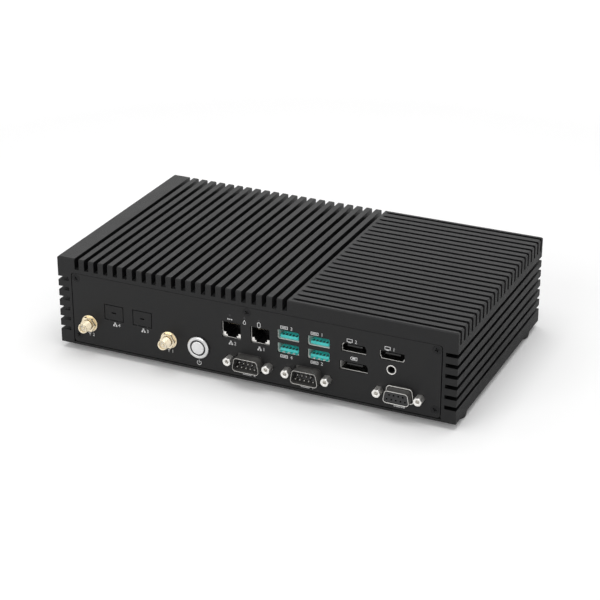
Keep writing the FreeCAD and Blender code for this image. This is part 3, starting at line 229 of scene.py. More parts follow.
def finish_where(piece, material, chosen):
    """Gives the faces that a test picks a finish of their own."""
    piece.data.materials.append(material)
    for polygon in piece.data.polygons:
        if chosen(polygon):
            polygon.material_index = len(piece.data.materials) - 1


def start_tree(name, *floats, **others):
    """A tree that is given a cloud of points, a material and named sizes, most of them floats."""
    tree = bpy.data.node_groups.new(name, "GeometryNodeTree")
    inputs = {"Points": "Geometry", "Material": "Material", **others, **dict.fromkeys(floats, "Float")}
    for label, kind in inputs.items():
        tree.interface.new_socket(label, in_out="INPUT", socket_type="NodeSocket" + kind)
    tree.interface.new_socket("Geometry", in_out="OUTPUT", socket_type="NodeSocketGeometry")
    return tree, add_node(tree, "NodeGroupInput").outputs


def end_tree(tree, given, shape):
    """Gives the shape out as real mesh in the tree's material."""
    real = add_node(tree, "GeometryNodeRealizeInstances", {0: shape})
    coated = add_node(tree, "GeometryNodeSetMaterial", {
        "Geometry": real, "Material": given["Material"]})
    add_node(tree, "NodeGroupOutput", {"Geometry": coated})
    return tree


BLANK, ROOM, ROUND_ROOM, RAIL, PILLAR, BORE_UP, BORE_ALONG = range(7)
ROWS = ("Long", "Cross", "Run_out", "Left", "Right")
ROW_INPUTS = {"_count": "Int", "_first": "Vector", "_step": "Vector", "_size": "Vector"}


def milled_block_tree():
    """A blank, less its rooms, rows of slots and bores, with rails and pillars left standing."""
    row_inputs = {row + part: kind for row in ROWS for part, kind in ROW_INPUTS.items()}
    tree, given = start_tree("milled block", Round_steps="Int", Saw_steps="Int", **row_inputs)
    kind_of = add_node(tree, "GeometryNodeInputNamedAttribute", {"Name": "kind"}, data_type="INT")
    size_of = add_node(tree, "GeometryNodeInputNamedAttribute", {"Name": "size"}, data_type="FLOAT_VECTOR")

    def unit_disc(steps):
        """A disc of width and height 1 with so many sides, upright and lying along Y."""
        upright = add_node(tree, "GeometryNodeMeshCylinder", {
            "Vertices": given[steps], "Radius": 0.5, "Depth": 1.0})
        lying = add_node(tree, "GeometryNodeTransform", {
            "Geometry": upright, "Rotation": (math.pi / 2, 0, 0)})
        return upright, lying

    def points_of(kind):
        """The points of the cloud that are of one kind."""
        chosen = add_node(tree, "FunctionNodeCompare", {2: kind_of, 3: kind}, data_type="INT",
                          operation="EQUAL")
        return add_node(tree, "GeometryNodeSeparateGeometry", {
            "Geometry": given["Points"], "Selection": chosen})

    def bodies(kind, shape):
        """The shape at each point of one kind, in the size that the point gives."""
        return add_node(tree, "GeometryNodeInstanceOnPoints", {
            "Points": points_of(kind), "Instance": shape, "Scale": size_of})

    def row_of(row, shape):
        """The shape over and over along a line."""
        line = add_node(tree, "GeometryNodeMeshLine", {
            "Count": given[row + "_count"], "Start Location": given[row + "_first"],
            "Offset": given[row + "_step"]})
        return add_node(tree, "GeometryNodeInstanceOnPoints", {
            "Points": line, "Instance": shape, "Scale": given[row + "_size"]})

    def merged(shapes, operation, onto):
        """The body with the shapes added to it or cut from it."""
        join = add_node(tree, "GeometryNodeJoinGeometry", {0: shapes})
        tools = add_node(tree, "GeometryNodeRealizeInstances", {0: join})
        meshes = {"Mesh 2": [tools, onto]} if operation == "UNION" else {"Mesh 1": onto, "Mesh 2": tools}
        return add_node(tree, "GeometryNodeMeshBoolean", {**meshes, "Self Intersection": True},
                        operation=operation, solver="EXACT")

    cube = add_node(tree, "GeometryNodeMeshCube", {"Size": (1, 1, 1)}).outputs["Mesh"]
    post, bar = unit_disc("Round_steps")
    saw = unit_disc("Saw_steps")[1]
    made = add_node(tree, "GeometryNodeConvexHull", {0: points_of(BLANK)})
    made = merged([bodies(ROOM, cube), bodies(ROUND_ROOM, bar)], "DIFFERENCE", made)
    made = merged([bodies(RAIL, cube), bodies(PILLAR, post)], "UNION", made)
    slots = [row_of(row, saw if row == "Run_out" else cube) for row in ROWS]
    made = merged(slots + [bodies(BORE_UP, post), bodies(BORE_ALONG, bar)], "DIFFERENCE", made)
    return end_tree(tree, given, made)


def run_tree(tree, name, places, attributes, material, inputs):
    """Runs a tree on a cloud of points with attributes, and gives the result as a plain piece."""
    cloud = bpy.data.meshes.new(name)
    cloud.from_pydata([tuple(place) for place in places], [], [])
    for label, values in attributes.items():
        whole = isinstance(values[0], int)
        layer = cloud.attributes.new(label, "INT" if whole else "FLOAT_VECTOR", "POINT")
        flat = values if whole else [part for value in values for part in value]
        layer.data.foreach_set("value" if whole else "vector", flat)
    piece = new_piece(name, cloud, material)
    runner = piece.modifiers.new("grow", "NODES")
    runner.node_group = tree
    for item in tree.interface.items_tree:
        if item.name == "Material":
            runner[item.identifier] = material
        elif item.name in inputs:
            runner[item.identifier] = inputs[item.name]
    return plain_mesh(piece)


(left, front, base), (right, back, top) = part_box("heatsink_housing")
middle_y = (front + back) / 2
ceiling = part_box("heat_spreader")[1].z
board_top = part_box("processor")[0].z
cover_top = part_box("bottom_cover")[1].z
front_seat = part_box("front_panel")[1].y
rear_seat = back + front - front_seat
inner_left, inner_right = left + SIDE_WALL, right - SIDE_WALL
tool_places, tool_kinds, tool_sizes = [], [], []


def mill(kind, x0, x1, y0, y1, z0, z1):
    """One step of the milling, as the box that its tool takes up."""
    tool_places.append(((x0 + x1) / 2, (y0 + y1) / 2, (z0 + z1) / 2))
    tool_kinds.append(kind)
    tool_sizes.append((x1 - x0, y1 - y0, z1 - z0))


def bore(kind, x, y, z, radius, start, end):
    """A round post or hole, upright or from front to back, between two ends."""
    if kind in (ROUND_ROOM, BORE_ALONG):
        mill(kind, x - radius, x + radius, start, end, z - radius, z + radius)
    else:
        mill(kind, x - radius, x + radius, y - radius, y + radius, start, end)


blank_profile = ((0, 0, base), (0, 0, top - SIDE_CHAMFER), (SIDE_CHAMFER - END_CHAMFER, 0, top - END_CHAMFER),
                 (SIDE_CHAMFER, END_CHAMFER, top))
for x, inward in ((left, 1), (right, -1)):
    for y, on in ((front, 1), (back, -1)):
        for dx, dy, z in blank_profile:
            tool_places.append((x + inward * dx, y + on * dy, z))
            tool_kinds.append(BLANK)
            tool_sizes.append((1, 1, 1))
mill(ROOM, inner_left, inner_right, front - PAST, back + PAST, base - PAST, ceiling)
for y0, y1 in ((front - PAST, front_seat), (rear_seat, back + PAST)):
    mill(ROOM, inner_left + ROOM_CORNER, inner_right - ROOM_CORNER, y0, y1, ceiling - PAST,
         ceiling + ROOM_CORNER)
    for x in (inner_left + ROOM_CORNER, inner_right - ROOM_CORNER):
        bore(ROUND_ROOM, x, 0, ceiling, ROOM_CORNER, y0, y1)
for x0, x1 in ((inner_left - PAST, inner_left + RAIL_WIDTH), (inner_right - RAIL_WIDTH, inner_right + PAST)):
    mill(RAIL, x0, x1, front_seat, rear_seat, ceiling - UPPER_RAIL_HEIGHT, ceiling + PAST)
    mill(RAIL, x0, x1, front_seat, rear_seat, cover_top, cover_top + LOWER_RAIL_HEIGHT)
for low, high in solid_boxes("countersunk_screws"):
    x, y, z = (low + high) / 2
    if high.z - low.z > high.y - low.y:
        bore(BORE_UP, x, y, 0, THREAD_RADIUS, base - PAST, base + CASE_THREAD)
        continue
    face, seat, on = (front, front_seat, 1) if y < middle_y else (back, rear_seat, -1)
    bore(BORE_ALONG, x, 0, z, THREAD_RADIUS, *sorted((face - on * PAST, face + on * CASE_THREAD)))
    in_the_middle = inner_left + RAIL_WIDTH < x < inner_right - RAIL_WIDTH
    if in_the_middle:
        mill(RAIL, x - BOSS_WIDTH / 2, x + BOSS_WIDTH / 2, *sorted((seat, seat + on * BOSS_LENGTH)),
             ceiling - BOSS_HEIGHT, ceiling + PAST)
for low, high in solid_boxes("mainboard_screws"):
    x, y, z = (low + high) / 2
    bore(PILLAR, x, y, 0, PILLAR_RADIUS, board_top, ceiling + PAST)
    bore(BORE_UP, x, y, 0, THREAD_RADIUS, board_top - PAST, board_top + BOARD_THREAD)
for node, seat, thread in (("heat_spreader_screws", ceiling, SPREADER_THREAD),
                           ("foot_screws", base, FOOT_THREAD)):
    for low, high in solid_boxes(node):
        x, y, z = (low + high) / 2
        bore(BORE_UP, x, y, 0, THREAD_RADIUS, seat - PAST, seat + thread)
for mount in frame["record"]["mounts"]:
    if mount["name"].startswith("bracket_hole"):
        x, y, z = mount["pos_m"]
        bore(BORE_UP, x, y, 0, BRACKET_RADIUS, base - PAST, base + FOOT_THREAD)

anodised = surface("black_anodised_aluminium", "#050506", "#0B0B0C", MACHINE_GRAIN, 0.42, 0.48, 1.0,
                   depth=1 / 3, IOR=1.5, Specular_IOR_Level=0.32)
# The same black with a weaker reflection, put on the side walls so that they read darker: painted shade.
shaded_side_anodised = surface("side_milled_black_aluminium", "#050506", "#0B0B0C", MACHINE_GRAIN, 0.48, 0.54, 1.0,
                      depth=1 / 3, IOR=1.5, Specular_IOR_Level=0.13)
long_first = left + LONG_START
field_end = long_first + (LONG_COUNT - 1) * LONG_PITCH + LONG_WIDTH / 2 + FIELD_LAND
saw_x = field_end + math.sqrt(SAW_RADIUS ** 2 - (SAW_RADIUS - CROSS_DEPTH) ** 2)
cross_y = middle_y - (CROSS_COUNT - 1) / 2 * CROSS_PITCH
side_z = base + SIDE_START
through = back - front + 2 * PAST
rows = {
    "Long": (LONG_COUNT, (long_first, middle_y, top - (LONG_DEPTH - PAST) / 2), (LONG_PITCH, 0, 0),
             (LONG_WIDTH, through, LONG_DEPTH + PAST)),
    "Cross": (CROSS_COUNT, ((saw_x + right + PAST) / 2, cross_y, top - (CROSS_DEPTH - PAST) / 2),
              (0, CROSS_PITCH, 0), (right + PAST - saw_x, SLOT_WIDTH, CROSS_DEPTH + PAST)),
    "Run_out": (CROSS_COUNT, (saw_x, cross_y, top - CROSS_DEPTH + SAW_RADIUS), (0, CROSS_PITCH, 0),
                (2 * SAW_RADIUS, SLOT_WIDTH, 2 * SAW_RADIUS)),
}
for row, side, inward in (("Left", left, 1), ("Right", right, -1)):
    rows[row] = (SIDE_COUNT, (side + inward * (SIDE_DEPTH - PAST) / 2, middle_y, side_z),
                 (0, 0, SIDE_PITCH), (SIDE_DEPTH + PAST, through, SLOT_WIDTH))
block_inputs = {"Round_steps": 32, "Saw_steps": 240}
for row, values in rows.items():
    block_inputs |= {row + part: value for part, value in zip(ROW_INPUTS, values)}
housing = run_tree(milled_block_tree(), "housing", tool_places, {"kind": tool_kinds, "size": tool_sizes},
                   anodised, block_inputs)
whole_faces(housing.data)
settle(soften(housing, HOUSING_EDGE), BODY, "anodised_aluminium", "heatsink_housing")
side_slots_end = side_z + (SIDE_COUNT - 1) * SIDE_PITCH + SLOT_WIDTH


def on_side(face):
    """The flat faces of the side walls and of the slots along them, which get a less reflective copy of the
    finish as painted shade.
    """
    flat = max(abs(face.normal.x), abs(face.normal.z)) > 0.99
    outside = abs(face.center.x) > right - 0.05 * MM
    in_slot = abs(face.center.x) > right - SIDE_DEPTH - 0.1 * MM and face.center.z < side_slots_end
    return flat and (outside or in_slot)


# The side walls take the weaker-reflecting copy as painted shade.
finish_where(housing, shaded_side_anodised, on_side)

# ------------------------ panels and bottom cover
# Pressed steel sheet with a fine black powder coat. The coat rounds the cut edges and has a
# slight orange peel, so it is a little duller than the housing.
POWDER_PEEL = 0.45 * MM


def dressed(node, material, slot, edge, body=BODY):
    """A copy of a CAD node with whole faces in place of triangles and softly broken edges."""
    mesh = whole_faces(frame["nodes"][node].data.copy())
    piece = soften(new_piece(node + "_dressed", mesh, material), edge)
    return settle(piece, body, slot, node)


powder = surface("black_powder_coated_steel", "#111112", "#161616", POWDER_PEEL, 0.5, 0.58, 0.25, IOR=1.45,
                 Specular_IOR_Level=0.36)
for sheet in ("front_panel", "rear_panel", "bottom_cover"):
    dressed(sheet, powder, "panel_steel", 0.12 * MM)

# ------------------------ countersunk screws
# M3 screws with a cross recess, black zinc on steel. One tree lathes the head, sinks the cross
# into it and stands it on every screw place of the CAD, each turned as the driver left it.
BLACK_ZINC_GRAIN = 0.4 * MM


def hull(tree, corners, *rings):
    """A closed convex body through level rings of so many corners.

    Each ring is a size and its share that make the radius, then a size and its share that make
    the height, and may have a number of corners of its own.
    """
    levels = []
    for wide, wide_share, high, high_share, *own in rings:
        radius, height = [add_node(tree, "ShaderNodeMath", {0: size, 1: part}, operation="MULTIPLY")
                          for size, part in ((wide, wide_share), (high, high_share))]
        ring = add_node(tree, "GeometryNodeMeshCircle", {"Vertices": (own or [corners])[0], "Radius": radius})
        lift = add_node(tree, "ShaderNodeCombineXYZ", {"Z": height})
        levels.append(add_node(tree, "GeometryNodeTransform", {"Geometry": ring, "Translation": lift}))
    join = add_node(tree, "GeometryNodeJoinGeometry", {0: levels})
    return add_node(tree, "GeometryNodeConvexHull", {0: join})


def stand(tree, given, shape, spin=0.0):
    """Ends a tree with the shape on each point along its facing, spun at random."""
    facing = add_node(tree, "GeometryNodeInputNamedAttribute", {"Name": "facing"}, data_type="FLOAT_VECTOR")
    along = add_node(tree, "FunctionNodeAlignRotationToVector", {"Vector": facing}, axis="Z")
    chance = add_node(tree, "FunctionNodeRandomValue", {2: 0.0, 3: spin, "Seed": 7}, data_type="FLOAT")
    twist = add_node(tree, "FunctionNodeAxisAngleToRotation", {"Axis": (0, 0, 1), "Angle": chance.outputs[1]})
    turned = add_node(tree, "FunctionNodeRotateRotation", {0: along, 1: twist},
                      rotation_space="LOCAL")
    placed = add_node(tree, "GeometryNodeInstanceOnPoints", {
        "Points": given["Points"], "Instance": shape, "Rotation": turned})
    return end_tree(tree, given, placed)


def shade_round(mesh):
    """Shades round sides smooth and leaves their edges sharp."""
    mesh.shade_smooth()
    mesh.set_sharp_from_angle(angle=math.radians(30))


def grow(tree, name, places, facings, material, **sizes):
    """Runs a tree on points that face one way, or a way each, with round sides shaded smooth."""
    ways = facings if isinstance(facings, list) else [facings] * len(places)
    piece = run_tree(tree, name, places, {"facing": ways}, material, sizes)
    shade_round(piece.data)
    return piece


def screw_tree(name, rings):
    """A screw with a cross recess.

    Each ring of the head is a named radius, its share of that radius, and its depth as a share
    of the head's height.
    """
    tree, given = start_tree(name, "Head_radius", "Head_height", "Shank_radius", "Length", "Cross_arm",
                             "Cross_width", "Cross_height")
    thin = given["Shank_radius"]
    head = hull(tree, 32, *[(given[label], part, given["Head_height"], -deep) for label, part, deep in rings])
    shank = hull(tree, 20, (thin, 1, given["Head_height"], -0.9), (thin, 1, given["Length"], -1))
    bars = []
    for long_way, short_way in (("X", "Y"), ("Y", "X")):
        size = add_node(tree, "ShaderNodeCombineXYZ", {
            long_way: given["Cross_arm"], short_way: given["Cross_width"], "Z": given["Cross_height"]})
        bars.append(add_node(tree, "GeometryNodeMeshCube", {"Size": size}))
    cross = add_node(tree, "GeometryNodeJoinGeometry", {0: bars})
    cut = add_node(tree, "GeometryNodeMeshBoolean", {
        "Mesh 1": head, "Mesh 2": cross, "Self Intersection": True}, operation="DIFFERENCE", solver="EXACT")
    whole = add_node(tree, "GeometryNodeJoinGeometry", {0: [cut, shank]})
    return stand(tree, given, whole, 1.57)


black_zinc = surface("black_zinc_plated_steel", "#101011", "#1A1A1B", BLACK_ZINC_GRAIN, 0.34, 0.44, 0.1,
                     Metallic=0.6)
front_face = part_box("front_panel")[0].y
under_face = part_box("bottom_cover")[0].z
screw_places, screw_ways = [], []
for low, high in solid_boxes("countersunk_screws"):
    x, y, z = (low + high) / 2
    if high.z - low.z > high.y - low.y:
        place, way = (x, y, under_face), (0, 0, -1)
    elif y < 0:
        place, way = (x, front_face, z), (0, -1, 0)
    else:
        place, way = (x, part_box("countersunk_screws")[1].y, z), (0, 1, 0)
    screw_places.append(place)
    screw_ways.append(way)
flat_head = screw_tree("countersunk screw", (("Head_radius", 0.94, 0.0), ("Head_radius", 1.0, 0.12),
                                             ("Shank_radius", 1.0, 1.0)))
screws = grow(flat_head, "panel_screws", screw_places, screw_ways, black_zinc, Head_radius=2.6 * MM,
              Head_height=1.2 * MM, Shank_radius=1.45 * MM, Length=7.0 * MM, Cross_arm=2.6 * MM,
              Cross_width=0.62 * MM, Cross_height=2 * 0.8 * MM)
settle(screws, BODY, "black_zinc_steel", "countersunk_screws")

# ------------------------ print on the front panel
# Pale pad-printed marks, a hair above the coat: plain numbers and simple signs beside the
# sockets. Each line is a flat ribbon with mitred corners, and the numbers are filled outlines.
# The knock-outs and the lights stand at shares of the housing's width.
PRINT_FACE = front_face - 0.02 * MM
PRINT_LINE = 0.34 * MM
PRINT_HEIGHT = 2.1 * MM
KNOCK_OUTS = {"4": 0.1471, "3": 0.2227}
LIGHTS = (0.4510, 0.4878, 0.5239)
marks = bmesh.new()


def stroke(points, closed=False, width=PRINT_LINE):
    """A flat line of even width through points on the panel, given as (x, z)."""
    sides = []
    for k, point in enumerate(points):
        here = Vector(point)
        ways = []
        if closed or k > 0:
            ways.append((here - Vector(points[k - 1])).normalized())
        if closed or k < len(points) - 1:
            ways.append((Vector(points[(k + 1) % len(points)]) - here).normalized())
        way = sum(ways, Vector((0, 0))).normalized()
        side = Vector((-way.y, way.x)) * (width / 2 / max(0.5, way.dot(ways[0])))
        sides.append([marks.verts.new((p.x, PRINT_FACE, p.y)) for p in (here + side, here - side)])
    for k in range(len(points) if closed else len(points) - 1):
        (a, b), (c, d) = sides[k], sides[(k + 1) % len(points)]
        marks.faces.new((a, b, d, c))


def bar_mark(x, z, width, line=PRINT_LINE):
    """A level bar."""
    stroke([(x - width / 2, z), (x + width / 2, z)], width=line)


def box_mark(x, z, width, height):
    """An upright rectangle drawn as an outline."""
    w, h = width / 2, height / 2
    stroke([(x - w, z - h), (x + w, z - h), (x + w, z + h), (x - w, z + h)], True)


def arc(x, z, radius, start, end, steps=20):
    """Points along a circle's arc, in degrees anticlockwise from the right."""
    turns = [math.radians(start + (end - start) * k / steps) for k in range(steps + 1)]
    return [(x + radius * math.cos(t), z + radius * math.sin(t)) for t in turns]


def number_mark(text, x, z):
    """A number whose middle is at (x, z)."""
    curve = bpy.data.curves.new("number", "FONT")
    curve.body = text
    curve.size = PRINT_HEIGHT * 1.4
    curve.align_x = "CENTER"
    curve.align_y = "CENTER"
    holder = bpy.data.objects.new("number", curve)
    bpy.context.collection.objects.link(holder)
    mesh = finished_mesh(holder)
    bpy.data.objects.remove(holder)
    mesh.transform(Matrix.Translation((x, PRINT_FACE, z)) @ Matrix.Rotation(math.pi / 2, 4, "X"))
    marks.from_mesh(mesh)


def network_mark(x, z):
    """Three stations on one line."""
    step = 0.85 * MM
    for dx, dz in ((0, step), (-step, -step), (step, -step)):
        box_mark(x + dx, z + dz, 0.7 * MM, 0.5 * MM)
    stroke([(x, z + 0.6 * step), (x, z)])
    stroke([(x - step, z - 0.6 * step), (x - step, z), (x + step, z), (x + step, z - 0.6 * step)])


def screen_mark(x, z):
    """A screen on its stand."""
    box_mark(x, z + 0.25 * MM, 3.2 * MM, 1.7 * MM)
    bar_mark(x, z - 1.1 * MM, 1.6 * MM)


def aerial_mark(x, z):
    """A mast with two arms."""
    stroke([(x, z - 1.0 * MM), (x, z + 1.0 * MM)])
    stroke([(x - 0.8 * MM, z + 1.0 * MM), (x, z), (x + 0.8 * MM, z + 1.0 * MM)])


def port_mark(x, z, width):
    """A socket's mouth with its tongue."""
    box_mark(x, z, width, 1.5 * MM)
    bar_mark(x, z, width - 1.4 * MM, 0.4 * MM)


def middle(node, up=0.0):
    """The centre of a CAD node's box, or a place that far above it."""
    low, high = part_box(node)
    return (low + high) / 2 + Vector((0, 0, up))


for number, node in (("2", "antenna_jack_2"), ("1", "antenna_jack_1")):
    place = middle(node, -7.3 * MM)
    aerial_mark(place.x - 0.4 * MM, place.z)
    number_mark(number, place.x + 2.2 * MM, place.z)
for number, station in KNOCK_OUTS.items():
    x, z = left + station * (right - left), middle("antenna_jack_1").z + 2.5 * MM
    network_mark(x + 0.6 * MM, z)
    number_mark(number, x + 3.4 * MM, z - 0.2 * MM)
for number in ("1", "2"):
    place = middle("lan_shield_" + number, -5.75 * MM)
    network_mark(place.x - 0.3 * MM, place.z)
    number_mark(number, place.x + 2.5 * MM, place.z - 0.2 * MM)
for side, upper, lower in (("left", "3", "4"), ("right", "1", "2")):
    place = middle("usb_shell_" + side)
    for number, z in ((upper, place.z + 10.1 * MM), (lower, place.z - 8.2 * MM)):
        port_mark(place.x - 2.4 * MM, z, 4.4 * MM)
        number_mark(number, place.x + 2.2 * MM, z)
for number, node in (("2", "display_body"), ("1", "media_body")):
    place = middle(node, 10.0 * MM)
    screen_mark(place.x - 2.6 * MM, place.z)
    number_mark(number, place.x + 1.2 * MM, place.z - 0.1 * MM)
place = middle("display_shell_upper", -6.05 * MM)
plug_end = [(place.x + 2.0 * MM, place.z - 0.9 * MM), (place.x + 2.0 * MM, place.z + 0.9 * MM)]
stroke(arc(place.x - 1.0 * MM, place.z, 0.9 * MM, 90, 270) + plug_end, True)
bar_mark(place.x + 0.1 * MM, place.z, 2.0 * MM, 0.9 * MM)
for number, node in (("2", "com_shell_1"), ("1", "com_shell_2")):
    place = middle(node, -7.55 * MM)
    port_mark(place.x - 1.6 * MM, place.z, 5.0 * MM)
    number_mark(number, place.x + 3.2 * MM, place.z)
place = middle("gpio_shell", -7.45 * MM)
for k in range(-2, 3):
    box_mark(place.x + k * 1.4 * MM, place.z, 0.7 * MM, 1.4 * MM)
place = middle("power_button_bezel", -10.2 * MM)
stroke(arc(place.x, place.z, 1.35 * MM, 125, 415))
stroke([(place.x, place.z + 1.9 * MM), (place.x, place.z)])
power_x, flame_x, disk_x = [left + station * (right - left) for station in LIGHTS]
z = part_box("light_pipe")[1].z - 3.7 * MM
for k in (-1, 0, 1):
    bar_mark(power_x + k * 1.2 * MM, z, 0.8 * MM, 0.8 * MM)
stroke(arc(flame_x, z - 0.6 * MM, 0.8 * MM, 150, 390) + [(flame_x, z + 1.2 * MM)], True)
stroke(arc(disk_x, z + 0.6 * MM, 0.9 * MM, 0, 180) + arc(disk_x, z - 0.8 * MM, 0.9 * MM, 180, 360), True)
print_mesh = bpy.data.meshes.new("panel_print")
marks.to_mesh(print_mesh)
marks.free()
ink = surface("pad_printed_ink", "#DADADA", "#E6E6E6", 0.5 * MM, 0.5, 0.6, 0.05)
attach(new_piece("panel_print", print_mesh, ink), BODY)

# ------------------------ feet
# Four turned rubber feet, each held by a pan-head screw up its middle. The board and the cards
# are held by the same kind of screw in other sizes.
rubber = surface("moulded_black_rubber", "#0E0E0E", "#151515", 0.8 * MM, 0.68, 0.78, 0.3, IOR=1.5)
for corner in ("front_left", "front_right", "rear_left", "rear_right"):
    dressed("rubber_foot_" + corner, rubber, "foot_rubber", 0.6 * MM)
pan_head = screw_tree("pan-head screw", (("Head_radius", 0.7, 0.0), ("Head_radius", 0.92, 0.16),
                                         ("Head_radius", 1.0, 0.42), ("Head_radius", 1.0, 1.0)))


def spots(boxes, across, along, up):
    """A point in each box, at shares of the box's width, depth and height."""
    return [tuple(a + part * (b - a) for a, b, part in zip(low, high, (across, along, up)))
            for low, high in boxes]


for node, head, shank in (("foot_screws", 1.5 * MM, 1.45 * MM), ("mainboard_screws", 1.8 * MM, 1.45 * MM),
                          ("card_screws", 0.8 * MM, 1.0 * MM)):
    boxes = solid_boxes(node)
    size = boxes[0][1] - boxes[0][0]
    pan_screws = grow(pan_head, node + "_turned", spots(boxes, 0.5, 0.5, 0), (0, 0, -1), black_zinc,
                      Head_radius=size.x / 2, Head_height=head, Shank_radius=shank, Length=size.z,
                      Cross_arm=0.55 * size.x, Cross_width=0.125 * size.x, Cross_height=2 * 0.6 * head)
    settle(pan_screws, BODY, "black_zinc_steel", node)

# ------------------------ power button
# A turned stainless bezel, a dark light ring let into it, and a satin cap that is pressed in.
# The turning leaves fine rings round the axis on the bezel and on the cap.
RING_PITCH = 0.35 * MM
button_axis = middle("power_button_bezel")


def turned_surface(name, dark, light, low, high):
    """Satin metal with rings from turning about the button's axis."""
    material = surface(name, dark, light, 0.3 * MM, low, high, 0.05, Metallic=1.0)
    tree = material.node_tree
    place = tree.nodes["Texture Coordinate"].outputs["Object"]
    offset = add_node(tree, "ShaderNodeVectorMath", {0: place, 1: (button_axis.x, 0, button_axis.z)},
                      operation="SUBTRACT")
    flat = add_node(tree, "ShaderNodeVectorMath", {0: offset, 1: (1, 0, 1)}, operation="MULTIPLY")
    radius = add_node(tree, "ShaderNodeVectorMath", {0: flat}, operation="LENGTH")
    turns = add_node(tree, "ShaderNodeMath", {0: radius.outputs["Value"], 1: 2 * math.pi / RING_PITCH},
                     operation="MULTIPLY")
    wave = add_node(tree, "ShaderNodeMath", {0: turns}, operation="SINE")
    rings = add_node(tree, "ShaderNodeBump", {
        "Height": wave, "Strength": 0.12, "Distance": 0.02 * MM,
        "Normal": tree.nodes["Bump"].outputs["Normal"]})
    tree.links.new(rings.outputs["Normal"], tree.nodes["Principled BSDF"].inputs["Normal"])
    return material


turned_steel = turned_surface("turned_stainless_steel", "#C9C9C9", "#D6D6D6", 0.24, 0.32)
blasted_steel = turned_surface("satin_stainless_steel", "#D4D4D4", "#DEDEDE", 0.46, 0.54)
ring_plastic = surface("smoked_ring_plastic", "#2A2A2C", "#303033", 0.4 * MM, 0.3, 0.4, 0.05)
dressed("power_button_bezel", turned_steel, "stainless_steel", 0.35 * MM)
dressed("power_button_light_ring", ring_plastic, "clear_plastic", 0.08 * MM)
dressed("power_button_cap", blasted_steel, "stainless_steel", 0.15 * MM, "power_button")

# ------------------------ antenna jacks
# Gold-plated brass jacks with a cut thread, a white insulator and a gold pin down the bore,
# a hexagon nut and a washer. The thread is a helix of the real pitch.
THREAD_PITCH = 0.705 * MM
THREAD_DEPTH = 0.38 * MM
THREAD_START, THREAD_END = 0.25 * MM, 6.1 * MM
THREAD_ROWS = 90
BARREL_RADIUS, BARREL_CORE, BARREL_BORE = 3.175 * MM, 2.87 * MM, 2.3 * MM
FLANGE_RADIUS, TAIL_RADIUS = 4.2 * MM, 1.6 * MM
gold = surface("gold_plated_brass", "#EEE0C2", "#F8ECD4", 0.5 * MM, 0.24, 0.34, 0.08, Metallic=0.85)
teflon = surface("white_ptfe", "#E8E4D8", "#F2EEE2", 0.5 * MM, 0.45, 0.55, 0.05)


def turned_piece(name, rings, centre, material, steps=40):
    """A turned body along Y from rings of (radius, y, thread depth); the ends close on the axis."""
    shape = bmesh.new()
    rows = []
    for radius, y, depth in rings:
        row = []
        for k in range(steps):
            turn = k / steps
            phase = (y / THREAD_PITCH - turn) % 1.0
            reach = radius - depth * abs(2 * phase - 1)
            row.append(shape.verts.new((centre.x + reach * math.cos(2 * math.pi * turn), y,
                                        centre.z + reach * math.sin(2 * math.pi * turn))))
        rows.append(row)
    for near, far in zip(rows, rows[1:]):
        for k in range(steps):
            on = (k + 1) % steps
            shape.faces.new((near[k], near[on], far[on], far[k]))
    for row, y in ((rows[0], rings[0][1]), (rows[-1], rings[-1][1])):
        pole = shape.verts.new((centre.x, y, centre.z))
        for k in range(steps):
            shape.faces.new((row[k], row[(k + 1) % steps], pole))
    bmesh.ops.recalc_face_normals(shape, faces=shape.faces)
    mesh = bpy.data.meshes.new(name)
    shape.to_mesh(mesh)
    shape.free()
    shade_round(mesh)
    return new_piece(name, mesh, material)


for number in ("1", "2"):
    node = "antenna_jack_" + number
    centre = middle(node)
    tip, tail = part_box(node)[0].y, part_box(node)[1].y
    rings = [(0.9 * MM, tip + 2.0 * MM, 0), (BARREL_BORE, tip + 2.0 * MM, 0),
             (BARREL_BORE, tip + 0.15 * MM, 0), (BARREL_BORE + 0.12 * MM, tip, 0), (2.85 * MM, tip, 0)]
    for k in range(THREAD_ROWS + 1):
        along = k / THREAD_ROWS
        lead_in = min(1.0, along * 12, (1 - along) * 12)
        radius = BARREL_CORE + (BARREL_RADIUS - BARREL_CORE) * lead_in
        y = tip + THREAD_START + along * (THREAD_END - THREAD_START)
        rings.append((radius, y, THREAD_DEPTH * lead_in))
    rings += [(2.9 * MM, front_face + 0.2 * MM, 0), (FLANGE_RADIUS, front_face + 1.3 * MM, 0),
              (FLANGE_RADIUS, front_face + 3.3 * MM, 0), (TAIL_RADIUS, front_face + 3.3 * MM, 0),
              (TAIL_RADIUS, tail, 0)]
    settle(turned_piece("antenna_barrel_" + number, rings, centre, gold), BODY, "gold_brass", node)
    insulator_rings = [(0.7 * MM, tip + 1.6 * MM, 0), (2.28 * MM, tip + 1.6 * MM, 0),
                       (2.28 * MM, tip + 1.95 * MM, 0)]
    pin_rings = [(0.45 * MM, tip + 0.7 * MM, 0), (0.62 * MM, tip + 0.9 * MM, 0),
                 (0.62 * MM, tip + 1.9 * MM, 0)]
    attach(turned_piece("antenna_insulator_" + number, insulator_rings, centre, teflon), BODY)
    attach(turned_piece("antenna_pin_" + number, pin_rings, centre, gold, 20), BODY)
dressed("antenna_nuts", gold, "gold_brass", 0.2 * MM)
dressed("antenna_washers", gold, "gold_brass", 0.12 * MM)

# ------------------------ indicator windows
# Light pipes of smoked plastic, moulded as one strip behind the panel. Their three round ends
# stand in the panel's holes.
smoked = surface("smoked_light_pipe", "#1C1D1F", "#232426", 0.4 * MM, 0.15, 0.22, 0.03)
dressed("light_pipe", smoked, "clear_plastic", 0.05 * MM)

